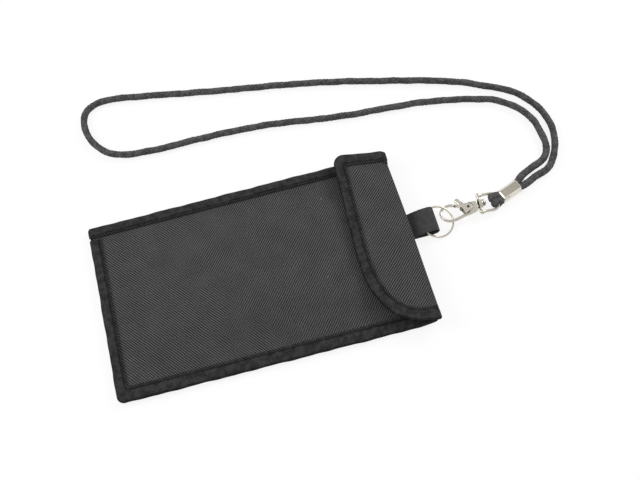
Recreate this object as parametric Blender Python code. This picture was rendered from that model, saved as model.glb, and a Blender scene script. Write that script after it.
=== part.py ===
"""A lanyard pouch lying on its back.

A twill pouch with bound edges and a fold-over flap, a webbing tab, a round ring, a swivel trigger clasp, and
a neck cord whose two ends are crimped in a ferrule.

Metres, +Z up, +X along the pouch towards the fold of its flap. The origin is the middle of its flat back.
"""

import math

import bmesh
import bpy
import numpy as np
from mathutils import Matrix, Vector

# Cloth, tape and the gap left between pieces that touch
CLOTH_THICKNESS = 0.0008
TAPE_THICKNESS = 0.0006
TOUCH_GAP = 0.0003

# Pouch outline, to the outside of its binding
POUCH_LENGTH = 0.180
CLOSED_END_WIDTH = 0.1048
MOUTH_END_WIDTH = 0.1082
POUCH_CORNER_RADIUS = 0.004
BINDING_WIDTH = 0.0078
PANEL_INSET = 0.0020

# Heights in the bound seam, from the underside up
BACK_MARGIN_HEIGHT = TAPE_THICKNESS + TOUCH_GAP
FRONT_MARGIN_HEIGHT = BACK_MARGIN_HEIGHT + CLOTH_THICKNESS + TOUCH_GAP
BINDING_HEIGHT = FRONT_MARGIN_HEIGHT + CLOTH_THICKNESS + TOUCH_GAP + TAPE_THICKNESS

# Front panel, which stands open over the pocket, and the tape on its mouth
CROWN_HEIGHT = 0.0042
CROWN_RUN = 0.026
CROWN_SHARES = (0.15, 0.32, 0.5, 0.68, 0.85, 1)
MOUTH_DISTANCE = 0.0104
MOUTH_BINDING_WIDTH = 0.0080
BACK_RUN = 0.003

# Hook and loop closure under the flap
PATCH_LENGTH = 0.042
PATCH_WIDTH = 0.0084
PATCH_PLACE = 0.0060
PATCH_THICKNESS = 0.0006

# Flap, its fold and its binding
FLAP_DEPTH = 0.0339
FLAP_TOP_DEPTH = 0.0312
FLAP_SIDE_INSET = 0.0013
FLAP_HALF_WIDTH = MOUTH_END_WIDTH / 2 - FLAP_SIDE_INSET
FLAP_ROUND_START = 0.0050
FLAP_TOP_RISE = 0.0034
FLAP_CORNER_RADIUS = 0.0060
FLAP_ROUND_POWER = 2.6
FLAP_BINDING_WIDTH = 0.0070
FLAP_PANEL_INSET = 0.0014
FOLD_INSET = 0.0005
FOLD_LIFT = 0.0030
FOLD_LIFT_RUN = 0.005

# Hanging tab of flat webbing, sewn under the back panel and looped through the ring
TAB_WIDTH = 0.0136
TAB_PLACE = 0.0040
TAB_THICKNESS = 0.0010
TAB_REACH = 0.0159
TAB_SEWN_LENGTH = 0.0100
TAB_LOOP_RADIUS = 0.0030
TAB_CLEARANCE = 0.0015
TAB_FRONT_SHARES = ((0.75, 0), (0.47, 0.1), (0.22, 0.45))
TAB_BACK_SHARES = ((0.22, 0.935), (0.326, 0.86), (0.42, 0.74), (0.645, 0.39), (0.82, 0.14), (1, 0.04))

# Round ring of one wire
RING_RADIUS = 0.0090
RING_WIRE = 0.0013
RING_REACH = 0.0167
RING_PLACE = 0.0031
RING_HEIGHT = 0.00285
RING_SLOPE_X = -0.08
RING_SLOPE_Y = 0.20
RING_HOLD_ANGLE = math.radians(20)
RING_HOLD_SHARE = 0.87
RING_TAB_ANGLE = math.radians(166)
RING_TAB_SHARE = 0.8

# Swivel trigger clasp, with its own axes: X along it towards the cord, Y across it, Z out of its flat side
CLASP_DISTANCE = 0.04343
CLASP_Y = 0.00716
CLASP_YAW = math.radians(2.8)
CLASP_PITCH = math.radians(2.3)
CLASP_ROLL = math.radians(-12)
HOOK_WIRE = 0.0019
HOOK_BEND_REACH = 0.0182
HOOK_BEND_LENGTH = 0.0048
HOOK_BEND_HALF_WIDTH = 0.0053
HOOK_BEND_PLACE = -0.0001
HOOK_TIP_REACH = 0.0152
HOOK_TIP_PLACE = 0.0044
BARREL_LENGTH = 0.0027
BARREL_WIDTH = 0.0052
BARREL_HEIGHT = 0.0042
BARREL_BEVEL = 0.0007
BODY_DISC_RADIUS = 0.0030
BODY_PLATE_HEIGHT = 0.0023
BODY_STRAND_WIRE = 0.0021
BODY_STRAND_PLACE = 0.0034

# Trigger lever of the clasp and the rivet and spring it turns on
RIVET_REACH = 0.0074
RIVET_PLACE = -0.0003
RIVET_RADIUS = 0.00075
RIVET_HEIGHT = 0.0038
LEVER_DISC_RADIUS = 0.0026
LEVER_HEIGHT = 0.0042
LEVER_CHEEK = 0.0008
LEVER_SLOT_RADIUS = 0.0034
LEVER_TOE_REACH = 0.0102
LEVER_TOE_PLACE = -0.0036
LEVER_NECK_REACH = 0.0116
LEVER_NECK_PLACE = 0.0040
THUMB_REACH = 0.0118
THUMB_PLACE = 0.0069
THUMB_RADIUS = 0.0014
THUMB_HEIGHT = 0.0024
NOSE_WIRE = 0.0018
SPRING_WIRE = 0.0007
SPRING_RADIUS = 0.0017
SPRING_RECESS_RADIUS = 0.0024

# Swivel eye with its boss, which stands a little askew on the stud that holds it to the clasp
EYE_YAW = math.radians(-4.7)
SWIVEL_GAP = 0.0006
EYE_BASE_LENGTH = 0.0020
EYE_BASE_WIDTH = 0.0122
EYE_BASE_HEIGHT = 0.0022
EYE_BASE_BEVEL = 0.0006
EYE_BOSS_RADIUS = 0.0022
EYE_BOSS_REACH = 0.0017
EYE_WIRE = 0.0018
EYE_LENGTH = 0.0104
EYE_HALF_WIDTH = 0.0050
EYE_BAR_HALF_WIDTH = 0.0049
EYE_CORNER_RADIUS = 0.0024
EYE_BAR_HEIGHT = 0.0040
STUD_RADIUS = 0.0011
STUD_HEAD_RADIUS = 0.0019
STUD_HEAD_LENGTH = 0.0017
STUD_SOCKET_DEPTH = 0.0020

# Ferrule crimped on the cord's ends
FERRULE_DISTANCE = 0.0576
FERRULE_Y = 0.0083
FERRULE_HEIGHT = 0.0037
FERRULE_YAW = math.radians(20.5)
FERRULE_LENGTH = 0.0125
FERRULE_WIDTH = 0.0078
FERRULE_THICKNESS = 0.0062
FERRULE_WALL = 0.0005
FERRULE_CORNER = 0.0024

# Neck cord, laid out as it lies, and its two ends folded over the bar of the eye
CORD_DIAMETER = 0.0040
CORD_POINTS = 74
CORD_END_DIAMETER = 0.0029
CORD_END_SPACING = 0.0033
CORD_END_DEPTH = 0.0040
CORD_END_GROWTH = 0.0052
FOLD_CORD_DIAMETER = 0.0027
FOLD_TAIL_DIAMETER = 0.0021
FOLD_SPACING = 0.0031
FOLD_TAIL_RISE = 0.0012
FOLD_BAR_GAP = 0.00025
FOLD_DEPTH = 0.0035

# The cord's route on the table from the ferrule round the loop and back, chosen by hand, with x counted from
# the pouch's fold end
CORD_ROUTE = (
    (0.0736, 0.0184), (0.0790, 0.0206), (0.0843, 0.0231), (0.0896, 0.0262), (0.0934, 0.0300),
    (0.0951, 0.0352), (0.0952, 0.0410), (0.0935, 0.0525), (0.0878, 0.0625), (0.0790, 0.0701),
    (0.0683, 0.0745), (0.0571, 0.0776), (0.0343, 0.0820), (0.0111, 0.0841), (-0.0122, 0.0856),
    (-0.0352, 0.0884), (-0.0582, 0.0919), (-0.0815, 0.0936), (-0.1047, 0.0941), (-0.1280, 0.0938),
    (-0.1460, 0.0948), (-0.1580, 0.0980), (-0.1655, 0.1045), (-0.1700, 0.1130), (-0.1718, 0.1215),
    (-0.1695, 0.1305), (-0.1635, 0.1350), (-0.1550, 0.1363), (-0.1440, 0.1350), (-0.1244, 0.1315),
    (-0.1016, 0.1270), (-0.0787, 0.1229), (-0.0557, 0.1191), (-0.0328, 0.1148), (-0.0101, 0.1098),
    (0.0124, 0.1039), (0.0349, 0.0980), (0.0571, 0.0908), (0.0676, 0.0860), (0.0781, 0.0808),
    (0.0881, 0.0748), (0.0959, 0.0665), (0.1011, 0.0561), (0.1028, 0.0446), (0.1002, 0.0333),
    (0.0948, 0.0236), (0.0851, 0.0176), (0.0785, 0.0148), (0.0745, 0.0128),
)

# Faceting
ROUND_SIDES = 24
WIRE_SIDES = 10
RING_STEPS = 48
CORNER_STEPS = 6
EDGE_STEPS = 14
CUT_OVERRUN = 0.001
SHARP_ANGLE = math.radians(40)
WORLD = Matrix.Identity(4)

# Colours (linear), roughness and metallic value of each finish
TWILL = ("twill", (0.045, 0.045, 0.048, 1), 0.85, 0)
BINDING_TAPE = ("binding_tape", (0.022, 0.022, 0.024, 1), 0.9, 0)
WEBBING = ("webbing", (0.028, 0.028, 0.030, 1), 0.8, 0)
HOOK_AND_LOOP = ("hook_and_loop", (0.02, 0.02, 0.02, 1), 0.95, 0)
BRAID = ("braid", (0.055, 0.056, 0.060, 1), 0.9, 0)
NICKEL = ("nickel", (0.62, 0.59, 0.52, 1), 0.28, 1)
SPRING_STEEL = ("spring_steel", (0.45, 0.45, 0.45, 1), 0.35, 1)


def clear_scene():
    for item in list(bpy.data.objects):
        bpy.data.objects.remove(item, do_unlink=True)


def material(finish):
    name, colour, roughness, metallic = finish
    made = bpy.data.materials.get(name)
    if made is None:
        made = bpy.data.materials.new(name)
        made.use_nodes = True
        shader = made.node_tree.nodes["Principled BSDF"]
        shader.inputs["Base Color"].default_value = colour
        shader.inputs["Roughness"].default_value = roughness
        shader.inputs["Metallic"].default_value = metallic
    return made


def hang(item, world, parent):
    """Places an object by its world matrix and hangs it on a parent that was placed the same way."""
    bpy.context.scene.collection.objects.link(item)
    item.matrix_basis = world
    item.parent = parent
    if parent:
        item.matrix_parent_inverse = parent.matrix_basis.inverted()
    return item


def pivot(name, place, axis, parent=None):
    """An empty on a joint, with its Z along the joint's axis and the pieces that move with it as children."""
    turn = Vector(axis).to_track_quat("Z", "Y").to_matrix().to_4x4()
    return hang(bpy.data.objects.new(name, None), Matrix.Translation(place) @ turn, parent)


def node(name, bm, finish, parent, frame=WORLD, smooth=False):
    """A piece from a closed bmesh whose points are given in the axes of a frame."""
    bmesh.ops.recalc_face_normals(bm, faces=bm.faces)
    mesh = bpy.data.meshes.new(name)
    bm.to_mesh(mesh)
    bm.free()
    if smooth:
        mesh.shade_smooth()
        mesh.set_sharp_from_angle(angle=SHARP_ANGLE)
    mesh.materials.append(material(finish))
    return hang(bpy.data.objects.new(name, mesh), frame, parent)


def helper(name, bm, piece):
    """A cutter, or a shape to be joined into a piece, in the piece's own axes. It isn't a piece itself."""
    made = node(name, bm, NICKEL, piece.parent, piece.matrix_basis)
    made.hide_render = True
    made.display_type = "WIRE"
    return made


def boolean(piece, name, bm, operation):
    modifier = piece.modifiers.new(name, "BOOLEAN")
    modifier.object = helper(name, bm, piece)
    modifier.operation = operation
    modifier.solver = "EXACT"


def smooth_step(value):
    share = min(max(value, 0), 1)
    return share * share * (3 - 2 * share)


def arc(centre_x, centre_y, radius, start, end, steps):
    angles = [start + (end - start) * step / steps for step in range(steps + 1)]
    return [(centre_x + radius * math.cos(a), centre_y + radius * math.sin(a)) for a in angles]


def prism(outline, low, high):
    """A straight-sided plate from a closed outline."""
    bm = bmesh.new()
    bottom = bm.faces.new([bm.verts.new((x, y, low)) for x, y in outline])
    grown = bmesh.ops.extrude_face_region(bm, geom=[bottom])["geom"]
    tops = [item for item in grown if isinstance(item, bmesh.types.BMVert)]
    bmesh.ops.translate(bm, verts=tops, vec=(0, 0, high - low))
    return bm


def panel(rows, thickness):
    """A cloth panel from rows of points on its underside, with its thickness straight up."""
    bm = bmesh.new()
    grid = [[bm.verts.new(point) for point in row] for row in rows]
    for near, far in zip(grid, grid[1:]):
        for a, b, c, d in zip(near, near[1:], far[1:], far):
            bm.faces.new((a, b, c, d))
    grown = bmesh.ops.extrude_face_region(bm, geom=bm.faces[:])["geom"]
    tops = [item for item in grown if isinstance(item, bmesh.types.BMVert)]
    bmesh.ops.translate(bm, verts=tops, vec=(0, 0, thickness))
    return bm


def lofted(sections, closed=False):
    """A solid through equal loops of points, with flat ends unless it closes on itself."""
    bm = bmesh.new()
    loops = [[bm.verts.new(point) for point in section] for section in sections]
    pairs = list(zip(loops, loops[1:]))
    if closed:
        pairs.append((loops[-1], loops[0]))
    else:
        bm.faces.new(list(reversed(loops[0])))
        bm.faces.new(loops[-1])
    for near, far in pairs:
        for a, b, c, d in zip(near, near[1:] + near[:1], far[1:] + far[:1], far):
            bm.faces.new((a, b, c, d))
    return bm


def rod(points, radii, sides=WIRE_SIDES, closed=False):
    """A round rod along points, with a frame carried along it without twist."""
    path = np.array(points, dtype=float)
    if closed:
        ahead = np.roll(path, -1, axis=0) - np.roll(path, 1, axis=0)
    else:
        ahead = np.gradient(path, axis=0)
    ahead /= np.linalg.norm(ahead, axis=1)[:, None]
    across = np.cross(ahead[0], (0, 0, 1) if abs(ahead[0][2]) < math.sqrt(0.5) else (0, 1, 0))
    sections = []
    for place, direction, radius in zip(path, ahead, radii):
        across = across - direction * np.dot(across, direction)
        across /= np.linalg.norm(across)
        upright = np.cross(direction, across)
        turns = [2 * math.pi * side / sides for side in range(sides)]
        sections.append([place + radius * (math.cos(t) * across + math.sin(t) * upright) for t in turns])
    return lofted(sections, closed)


def lathe(profile, sides=ROUND_SIDES):
    """A turned solid about the local X axis, from (x, radius) points whose first and last lie on the axis."""
    bm = bmesh.new()
    tips = [bm.verts.new((profile[0][0], 0, 0)), bm.verts.new((profile[-1][0], 0, 0))]
    turns = [2 * math.pi * side / sides for side in range(sides)]
    loops = [[bm.verts.new((x, r * math.cos(t), r * math.sin(t))) for t in turns] for x, r in profile[1:-1]]
    for near, far in zip(loops, loops[1:]):
        for a, b, c, d in zip(near, near[1:] + near[:1], far[1:] + far[:1], far):
            bm.faces.new((a, b, c, d))
    for tip, loop in zip(tips, (loops[0], loops[-1])):
        for a, b in zip(loop, loop[1:] + loop[:1]):
            bm.faces.new((tip, a, b))
    return bm


def disc(centre_x, centre_y, radius, low, high):
    outline = arc(centre_x, centre_y, radius, 0, 2 * math.pi, ROUND_SIDES)[:-1]
    return prism(outline, low, high)


def block(length, width, height, middle_x, bevel=0):
    bm = bmesh.new()
    bmesh.ops.create_cube(bm, size=1)
    bmesh.ops.scale(bm, verts=bm.verts, vec=(length, width, height))
    bmesh.ops.translate(bm, verts=bm.verts, vec=(middle_x, 0, 0))
    if bevel:
        bmesh.ops.bevel(bm, geom=bm.edges[:], offset=bevel, segments=2, profile=0.5, affect="EDGES")
    return bm


def smooth_curve(points):
    """Close points on a Catmull-Rom curve through a route, and how far along it each one is."""
    route = [Vector(point) for point in points]
    route = [2 * route[0] - route[1], *route, 2 * route[-1] - route[-2]]
    fine = []
    for a, b, c, d in zip(route, route[1:], route[2:], route[3:]):
        for t in np.linspace(0, 1, EDGE_STEPS, endpoint=False):
            square = (2 * a - 5 * b + 4 * c - d) * t**2
            cube = (3 * b - a - 3 * c + d) * t**3
            fine.append(b + ((c - a) * t + square + cube) / 2)
    fine = np.array([tuple(point) for point in [*fine, route[-2]]])
    run = np.concatenate([[0], np.cumsum(np.linalg.norm(np.diff(fine, axis=0), axis=1))])
    return fine, run


def half_width(x):
    """Half of the pouch's outline width at x, which grows a little towards the mouth."""
    share = x / POUCH_LENGTH + 1 / 2
    return (CLOSED_END_WIDTH + (MOUTH_END_WIDTH - CLOSED_END_WIDTH) * share) / 2


def seam_rise(x, y, start, run):
    """0 in the bound margins of the three closed sides, growing to 1 over a run inside them."""
    from_side = half_width(x) - abs(y)
    from_end = x + POUCH_LENGTH / 2
    return smooth_step((from_side - start) / run) * smooth_step((from_end - start) / run)


def tab_rise(x, y):
    """1 over the sewn end of the tab, falling to 0 round it."""
    sewn_start = POUCH_LENGTH / 2 - TAB_SEWN_LENGTH
    reach = TAB_CLEARANCE + FOLD_LIFT_RUN
    along = smooth_step((x - sewn_start + reach) / FOLD_LIFT_RUN)
    beside = smooth_step((TAB_WIDTH / 2 + reach - abs(y - TAB_PLACE)) / FOLD_LIFT_RUN)
    return along * beside


def fold_x():
    """Where the cloth bends up from the back panel and over into the flap."""
    return POUCH_LENGTH / 2 - FOLD_INSET


def panel_end():
    """The fold end of the back panel and of the flap panel, clear of the spine."""
    return fold_x() - CLOTH_THICKNESS / 2 - FOLD_INSET


def spread(x, distances, extra=()):
    """Stations across the pouch at x, at distances from both sides and at given places."""
    half = half_width(x)
    places = [half - distance for distance in distances] + [distance - half for distance in distances]
    return sorted(places + list(extra))


def back_height(x, y):
    """The back panel's underside: up in the bound seams, over the tab's sewn end and along the fold."""
    margin = BINDING_WIDTH + TOUCH_GAP
    seam = BACK_MARGIN_HEIGHT * (1 - seam_rise(x, y, margin, BACK_RUN))
    inner = smooth_step((half_width(x) - abs(y) - margin) / BACK_RUN)
    fold = smooth_step((x - panel_end() + FOLD_LIFT_RUN) / FOLD_LIFT_RUN)
    return seam + (FOLD_LIFT - seam) * inner * max(fold, tab_rise(x, y))


def back_panel(parent):
    margin = BINDING_WIDTH + TOUCH_GAP
    left = -POUCH_LENGTH / 2
    reach = TAB_CLEARANCE + FOLD_LIFT_RUN
    rise_shares = (0, 0.25, 0.5, 0.75, 1)
    tab_start = POUCH_LENGTH / 2 - TAB_SEWN_LENGTH - reach
    tab_rises = [tab_start + FOLD_LIFT_RUN * share for share in rise_shares]
    fold_rises = [panel_end() - FOLD_LIFT_RUN * (1 - share) for share in rise_shares]
    xs = [left + PANEL_INSET, left + margin, left + margin + BACK_RUN, 0, *tab_rises, *fold_rises]
    beside = [TAB_WIDTH / 2 + reach - FOLD_LIFT_RUN * share for share in rise_shares]
    tab_edges = [TAB_PLACE + side * distance for side in (-1, 1) for distance in beside]
    distances = (PANEL_INSET, margin, margin + BACK_RUN / 2, margin + BACK_RUN)
    rows = [[(x, y, back_height(x, y)) for y in spread(x, distances, tab_edges)] for x in sorted(xs)]
    node("back_panel", panel(rows, CLOTH_THICKNESS), TWILL, parent)


def front_height(x, y):
    return FRONT_MARGIN_HEIGHT + CROWN_HEIGHT * seam_rise(x, y, BINDING_WIDTH + TOUCH_GAP, CROWN_RUN)


def front_panel(parent):
    margin = BINDING_WIDTH + TOUCH_GAP
    distances = [PANEL_INSET, margin] + [margin + CROWN_RUN * share for share in CROWN_SHARES]
    xs = [distance - POUCH_LENGTH / 2 for distance in distances] + [0, mouth_x()]
    rows = [[(x, y, front_height(x, y)) for y in spread(x, distances)] for x in xs]
    node("front_panel", panel(rows, CLOTH_THICKNESS), TWILL, parent)


def mouth_x():
    """The cut edge of the front panel, inside the mouth binding."""
    return POUCH_LENGTH / 2 - MOUTH_DISTANCE


def binding(name, outer, inner, low, high, lifts, parent):
    """A tape wrapped round an edge: a C section between an outer and an inner line, carried along both."""
    wall = TAPE_THICKNESS
    chamfer = TAPE_THICKNESS / 2
    sections = []
    for (ox, oy), (ix, iy), lift in zip(outer, inner, lifts):
        width = math.hypot(ix - ox, iy - oy)
        profile = (
            (chamfer, low), (0, low + chamfer), (0, high - chamfer), (chamfer, high), (width, high),
            (width, high - wall), (wall, high - wall), (wall, low + wall), (width, low + wall), (width, low),
        )
        sections.append([
            (ox + (ix - ox) * depth / width, oy + (iy - oy) * depth / width, height + lift)
            for depth, height in profile
        ])
    node(name, lofted(sections), BINDING_TAPE, parent)


def edge_line(inset, corner):
    """The closed end and the near side of the pouch as one line, set in a little, with a rounded corner."""
    left = inset - POUCH_LENGTH / 2
    top = half_width(-POUCH_LENGTH / 2) - BINDING_WIDTH - TOUCH_GAP
    side = inset - half_width(-POUCH_LENGTH / 2)
    bend = arc(left + corner, side + corner, corner, math.pi, 1.5 * math.pi, CORNER_STEPS)
    return [(left, top), *bend, (POUCH_LENGTH / 2, inset - half_width(POUCH_LENGTH / 2))]


def edge_bindings(parent):
    outer = edge_line(0, POUCH_CORNER_RADIUS)
    inner = edge_line(BINDING_WIDTH, TAPE_THICKNESS)
    binding("edge_binding", outer, inner, 0, BINDING_HEIGHT, [0] * len(outer), parent)
    ends = (-POUCH_LENGTH / 2, POUCH_LENGTH / 2)
    outer = [(x, half_width(x)) for x in ends]
    inner = [(x, half_width(x) - BINDING_WIDTH) for x in ends]
    binding("top_binding", outer, inner, 0, BINDING_HEIGHT, (0, 0), parent)


def mouth_binding(parent):
    """The tape on the front panel's mouth, which follows the panel's crown from seam to seam."""
    edge = mouth_binding_edge()
    margin = BINDING_WIDTH + TOUCH_GAP
    distances = [margin + BACK_RUN] + [margin + CROWN_RUN * share for share in CROWN_SHARES]
    places = spread(edge, distances)
    outer = [(edge, y) for y in places]
    inner = [(edge - MOUTH_BINDING_WIDTH, y) for y in places]
    lifts = [front_height(edge, y) for y in places]
    wrap = TAPE_THICKNESS + TOUCH_GAP
    binding("mouth_binding", outer, inner, -wrap, CLOTH_THICKNESS + wrap, lifts, parent)


def mouth_binding_edge():
    return mouth_x() + TAPE_THICKNESS + TOUCH_GAP


def closure_patch(name, low, parent):
    """One half of the hook and loop closure, beside the mouth binding and inside the flap's binding."""
    far = mouth_binding_edge() - MOUTH_BINDING_WIDTH - TOUCH_GAP
    near = far - PATCH_WIDTH
    low_y, high_y = PATCH_PLACE - PATCH_LENGTH / 2, PATCH_PLACE + PATCH_LENGTH / 2
    outline = [(near, low_y), (far, low_y), (far, high_y), (near, high_y)]
    node(name, prism(outline, low, low + PATCH_THICKNESS), HOOK_AND_LOOP, parent)


def loop_patch(parent):
    closure_patch("loop_patch", FRONT_MARGIN_HEIGHT + CROWN_HEIGHT + CLOTH_THICKNESS + TOUCH_GAP, parent)


def flap_underside():
    """Height of the flap panel's underside: over the front panel, both patches and their gaps."""
    return FRONT_MARGIN_HEIGHT + CROWN_HEIGHT + CLOTH_THICKNESS + 2 * PATCH_THICKNESS + 3 * TOUCH_GAP


def flap_axis_height():
    return flap_underside() + CLOTH_THICKNESS / 2


def flap_line(inset, corner):
    """The flap's edge from one end of the fold to the other: a rounded sweep, a straight and a corner."""
    round_reach = FLAP_HALF_WIDTH - FLAP_ROUND_START
    points = []
    for step in range(EDGE_STEPS + 1):
        angle = math.pi / 2 * step / EDGE_STEPS
        along = math.sin(angle) ** (2 / FLAP_ROUND_POWER) * (FLAP_DEPTH - inset)
        down = math.cos(angle) ** (2 / FLAP_ROUND_POWER) * (round_reach - inset)
        points.append((panel_end() - along, -FLAP_ROUND_START - down))
    free_x = panel_end() - FLAP_TOP_DEPTH + inset
    top_y = FLAP_HALF_WIDTH + FLAP_TOP_RISE - inset
    points += arc(free_x + corner, top_y - corner, corner, math.pi, math.pi / 2, CORNER_STEPS)
    points.append((panel_end(), FLAP_HALF_WIDTH - inset))
    return points


def flap_spine(parent):
    """The strip of cloth that stands on the fold between the back panel and the flap."""
    low = FOLD_LIFT + 1.5 * CLOTH_THICKNESS + TOUCH_GAP / 3
    high = flap_axis_height() - CLOTH_THICKNESS - TOUCH_GAP / 3
    near, far = fold_x() - CLOTH_THICKNESS / 2, fold_x() + CLOTH_THICKNESS / 2
    half = FLAP_HALF_WIDTH - FLAP_PANEL_INSET
    outline = [(near, -half), (far, -half), (far, half), (near, half)]
    node("flap_spine", prism(outline, low, high), TWILL, parent)


def flap(parent):
    low = flap_underside()
    high = low + CLOTH_THICKNESS
    line = flap_line(FLAP_PANEL_INSET, FLAP_CORNER_RADIUS - FLAP_PANEL_INSET)
    node("flap_panel", prism(line, low, high), TWILL, parent)
    outer = flap_line(0, FLAP_CORNER_RADIUS)
    inner = flap_line(FLAP_BINDING_WIDTH, TAPE_THICKNESS)
    wrap = TAPE_THICKNESS + TOUCH_GAP
    binding("flap_binding", outer, inner, low - wrap, high + wrap, [0] * len(outer), parent)
    closure_patch("hook_patch", low - TOUCH_GAP - PATCH_THICKNESS, parent)


def tab_section():
    """The webbing's side view: a flat strip that runs out, turns round the ring and comes back."""
    half = TAB_THICKNESS / 2
    start = POUCH_LENGTH / 2 - TAB_SEWN_LENGTH
    turn_x = POUCH_LENGTH / 2 + TAB_REACH - half - TAB_LOOP_RADIUS
    turn_z = TAB_LOOP_RADIUS + half + TOUCH_GAP / 2
    upper = 3 * half + TOUCH_GAP
    rise = turn_z + TAB_LOOP_RADIUS - upper
    run = turn_x - panel_end()
    under = [(turn_x - run * along, half + TOUCH_GAP * up) for along, up in TAB_FRONT_SHARES]
    loop = arc(turn_x, turn_z, TAB_LOOP_RADIUS, -math.pi / 2, math.pi / 2, 2 * CORNER_STEPS)
    over = [(turn_x - run * along, upper + rise * up) for along, up in TAB_BACK_SHARES]
    middle = [(start, half), *under, *loop, *over, (start, upper)]
    path = np.array([(x, 0, z) for x, z in middle])
    ahead = np.gradient(path, axis=0)
    ahead /= np.linalg.norm(ahead, axis=1)[:, None]
    out = np.stack([ahead[:, 2], ahead[:, 1], -ahead[:, 0]], axis=1) * half
    return path, out


def hanging_tab(parent):
    path, out = tab_section()
    near, far = TAB_PLACE - TAB_WIDTH / 2, TAB_PLACE + TAB_WIDTH / 2
    sections = []
    for place, push in zip(path, out):
        (ax, _, az), (bx, _, bz) = place + push, place - push
        sections.append([(ax, near, az), (ax, far, az), (bx, far, bz), (bx, near, bz)])
    node("hanging_tab", lofted(sections), WEBBING, parent)


def ring_matrix():
    """The ring's own axes: its centre, with Z square to its plane."""
    normal = Vector((-RING_SLOPE_X, -RING_SLOPE_Y, 1)).normalized()
    side = Vector((0, 1, 0)).cross(normal).normalized()
    turn = Matrix((side, normal.cross(side), normal)).transposed().to_4x4()
    centre = Vector((POUCH_LENGTH / 2 + RING_REACH, RING_PLACE, RING_HEIGHT))
    return Matrix.Translation(centre) @ turn


def ring_point(angle, share):
    reach = RING_RADIUS * share
    return ring_matrix() @ Vector((reach * math.cos(angle), reach * math.sin(angle), 0))


def ring_tangent(angle):
    return ring_matrix().to_3x3() @ Vector((-math.sin(angle), math.cos(angle), 0))


def ring(parent):
    turns = [2 * math.pi * step / RING_STEPS for step in range(RING_STEPS)]
    points = [(RING_RADIUS * math.cos(turn), RING_RADIUS * math.sin(turn), 0) for turn in turns]
    wire = rod(points, [RING_WIRE / 2] * RING_STEPS, closed=True)
    node("ring", wire, NICKEL, parent, ring_matrix(), smooth=True)


def swivel_matrix(yaw, roll):
    """Axes from the middle of the eye's base, turned by a yaw and a roll: X towards the cord."""
    height = EYE_BAR_HEIGHT - EYE_LENGTH * math.sin(CLASP_PITCH)
    place = Matrix.Translation((POUCH_LENGTH / 2 + CLASP_DISTANCE, CLASP_Y, height))
    pitch = Matrix.Rotation(-CLASP_PITCH, 4, "Y")
    return place @ Matrix.Rotation(yaw, 4, "Z") @ pitch @ Matrix.Rotation(roll, 4, "X")


def clasp_matrix():
    """The clasp's own axes, with Z out of its flat side."""
    return swivel_matrix(CLASP_YAW, CLASP_ROLL)


def eye_matrix():
    return swivel_matrix(EYE_YAW, 0)


def hook_path():
    """The cast hook from the body along its lower side, round its bend to the tip."""
    bend = [
        (
            -HOOK_BEND_REACH + HOOK_BEND_LENGTH * math.cos(angle),
            HOOK_BEND_PLACE + HOOK_BEND_HALF_WIDTH * math.sin(angle),
        )
        for angle in np.linspace(-math.pi / 2, -1.5 * math.pi, 4 * CORNER_STEPS)
    ]
    strand = [
        (BODY_STRAND_PLACE - RIVET_REACH, HOOK_WIRE / 8 - BODY_STRAND_PLACE),
        (-RIVET_REACH, -BODY_STRAND_PLACE - HOOK_WIRE / 8),
        (-LEVER_TOE_REACH - HOOK_WIRE / 3, -BODY_STRAND_PLACE - HOOK_WIRE / 3),
        (-LEVER_TOE_REACH - 1.8 * HOOK_WIRE, -BODY_STRAND_PLACE - 0.75 * HOOK_WIRE),
        (-HOOK_BEND_REACH + 1.2 * HOOK_WIRE, HOOK_BEND_PLACE - HOOK_BEND_HALF_WIDTH + 0.17 * HOOK_WIRE),
    ]
    before_tip = (-(HOOK_BEND_REACH + HOOK_TIP_REACH) / 2, HOOK_TIP_PLACE + 0.4 * HOOK_WIRE)
    tip = [before_tip, (-HOOK_TIP_REACH, HOOK_TIP_PLACE)]
    return [(x, y, 0) for x, y in strand + bend + tip]


def clasp_body(parent):
    """The cast body: a barrel for the stud, a plate that the lever straddles, and the hook."""
    barrel_middle = -EYE_BASE_LENGTH / 2 - SWIVEL_GAP - BARREL_LENGTH / 2
    barrel = block(BARREL_LENGTH, BARREL_WIDTH, BARREL_HEIGHT, barrel_middle, BARREL_BEVEL)
    body = node("clasp_body", barrel, NICKEL, parent, clasp_matrix(), smooth=True)
    half = BODY_PLATE_HEIGHT / 2
    plate = disc(-RIVET_REACH, RIVET_PLACE, BODY_DISC_RADIUS, -half, half)
    boolean(body, "body_disc", plate, "UNION")
    low = -BODY_STRAND_PLACE
    high = BARREL_WIDTH / 2 - BARREL_BEVEL
    web = [(-RIVET_REACH, low), (barrel_middle, low), (barrel_middle, high), (-RIVET_REACH, high)]
    boolean(body, "body_web", prism(web, -half, half), "UNION")
    points = hook_path()
    radii = np.linspace(BODY_STRAND_WIRE, HOOK_WIRE, len(points)) / 2
    boolean(body, "hook_strand", rod(points, radii), "UNION")
    hole = disc(-RIVET_REACH, RIVET_PLACE, RIVET_RADIUS + TOUCH_GAP, -LEVER_HEIGHT, LEVER_HEIGHT)
    boolean(body, "body_rivet_hole", hole, "DIFFERENCE")
    floor = half - SPRING_WIRE - TOUCH_GAP
    recess = disc(-RIVET_REACH, RIVET_PLACE, SPRING_RECESS_RADIUS, floor, half + CUT_OVERRUN)
    boolean(body, "body_spring_recess", recess, "DIFFERENCE")
    face = -EYE_BASE_LENGTH / 2 - SWIVEL_GAP
    radius = STUD_RADIUS + TOUCH_GAP
    bore = [
        (face - STUD_SOCKET_DEPTH, 0), (face - STUD_SOCKET_DEPTH, radius),
        (face + CUT_OVERRUN, radius), (face + CUT_OVERRUN, 0),
    ]
    boolean(body, "body_stud_socket", lathe(bore), "DIFFERENCE")


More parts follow.
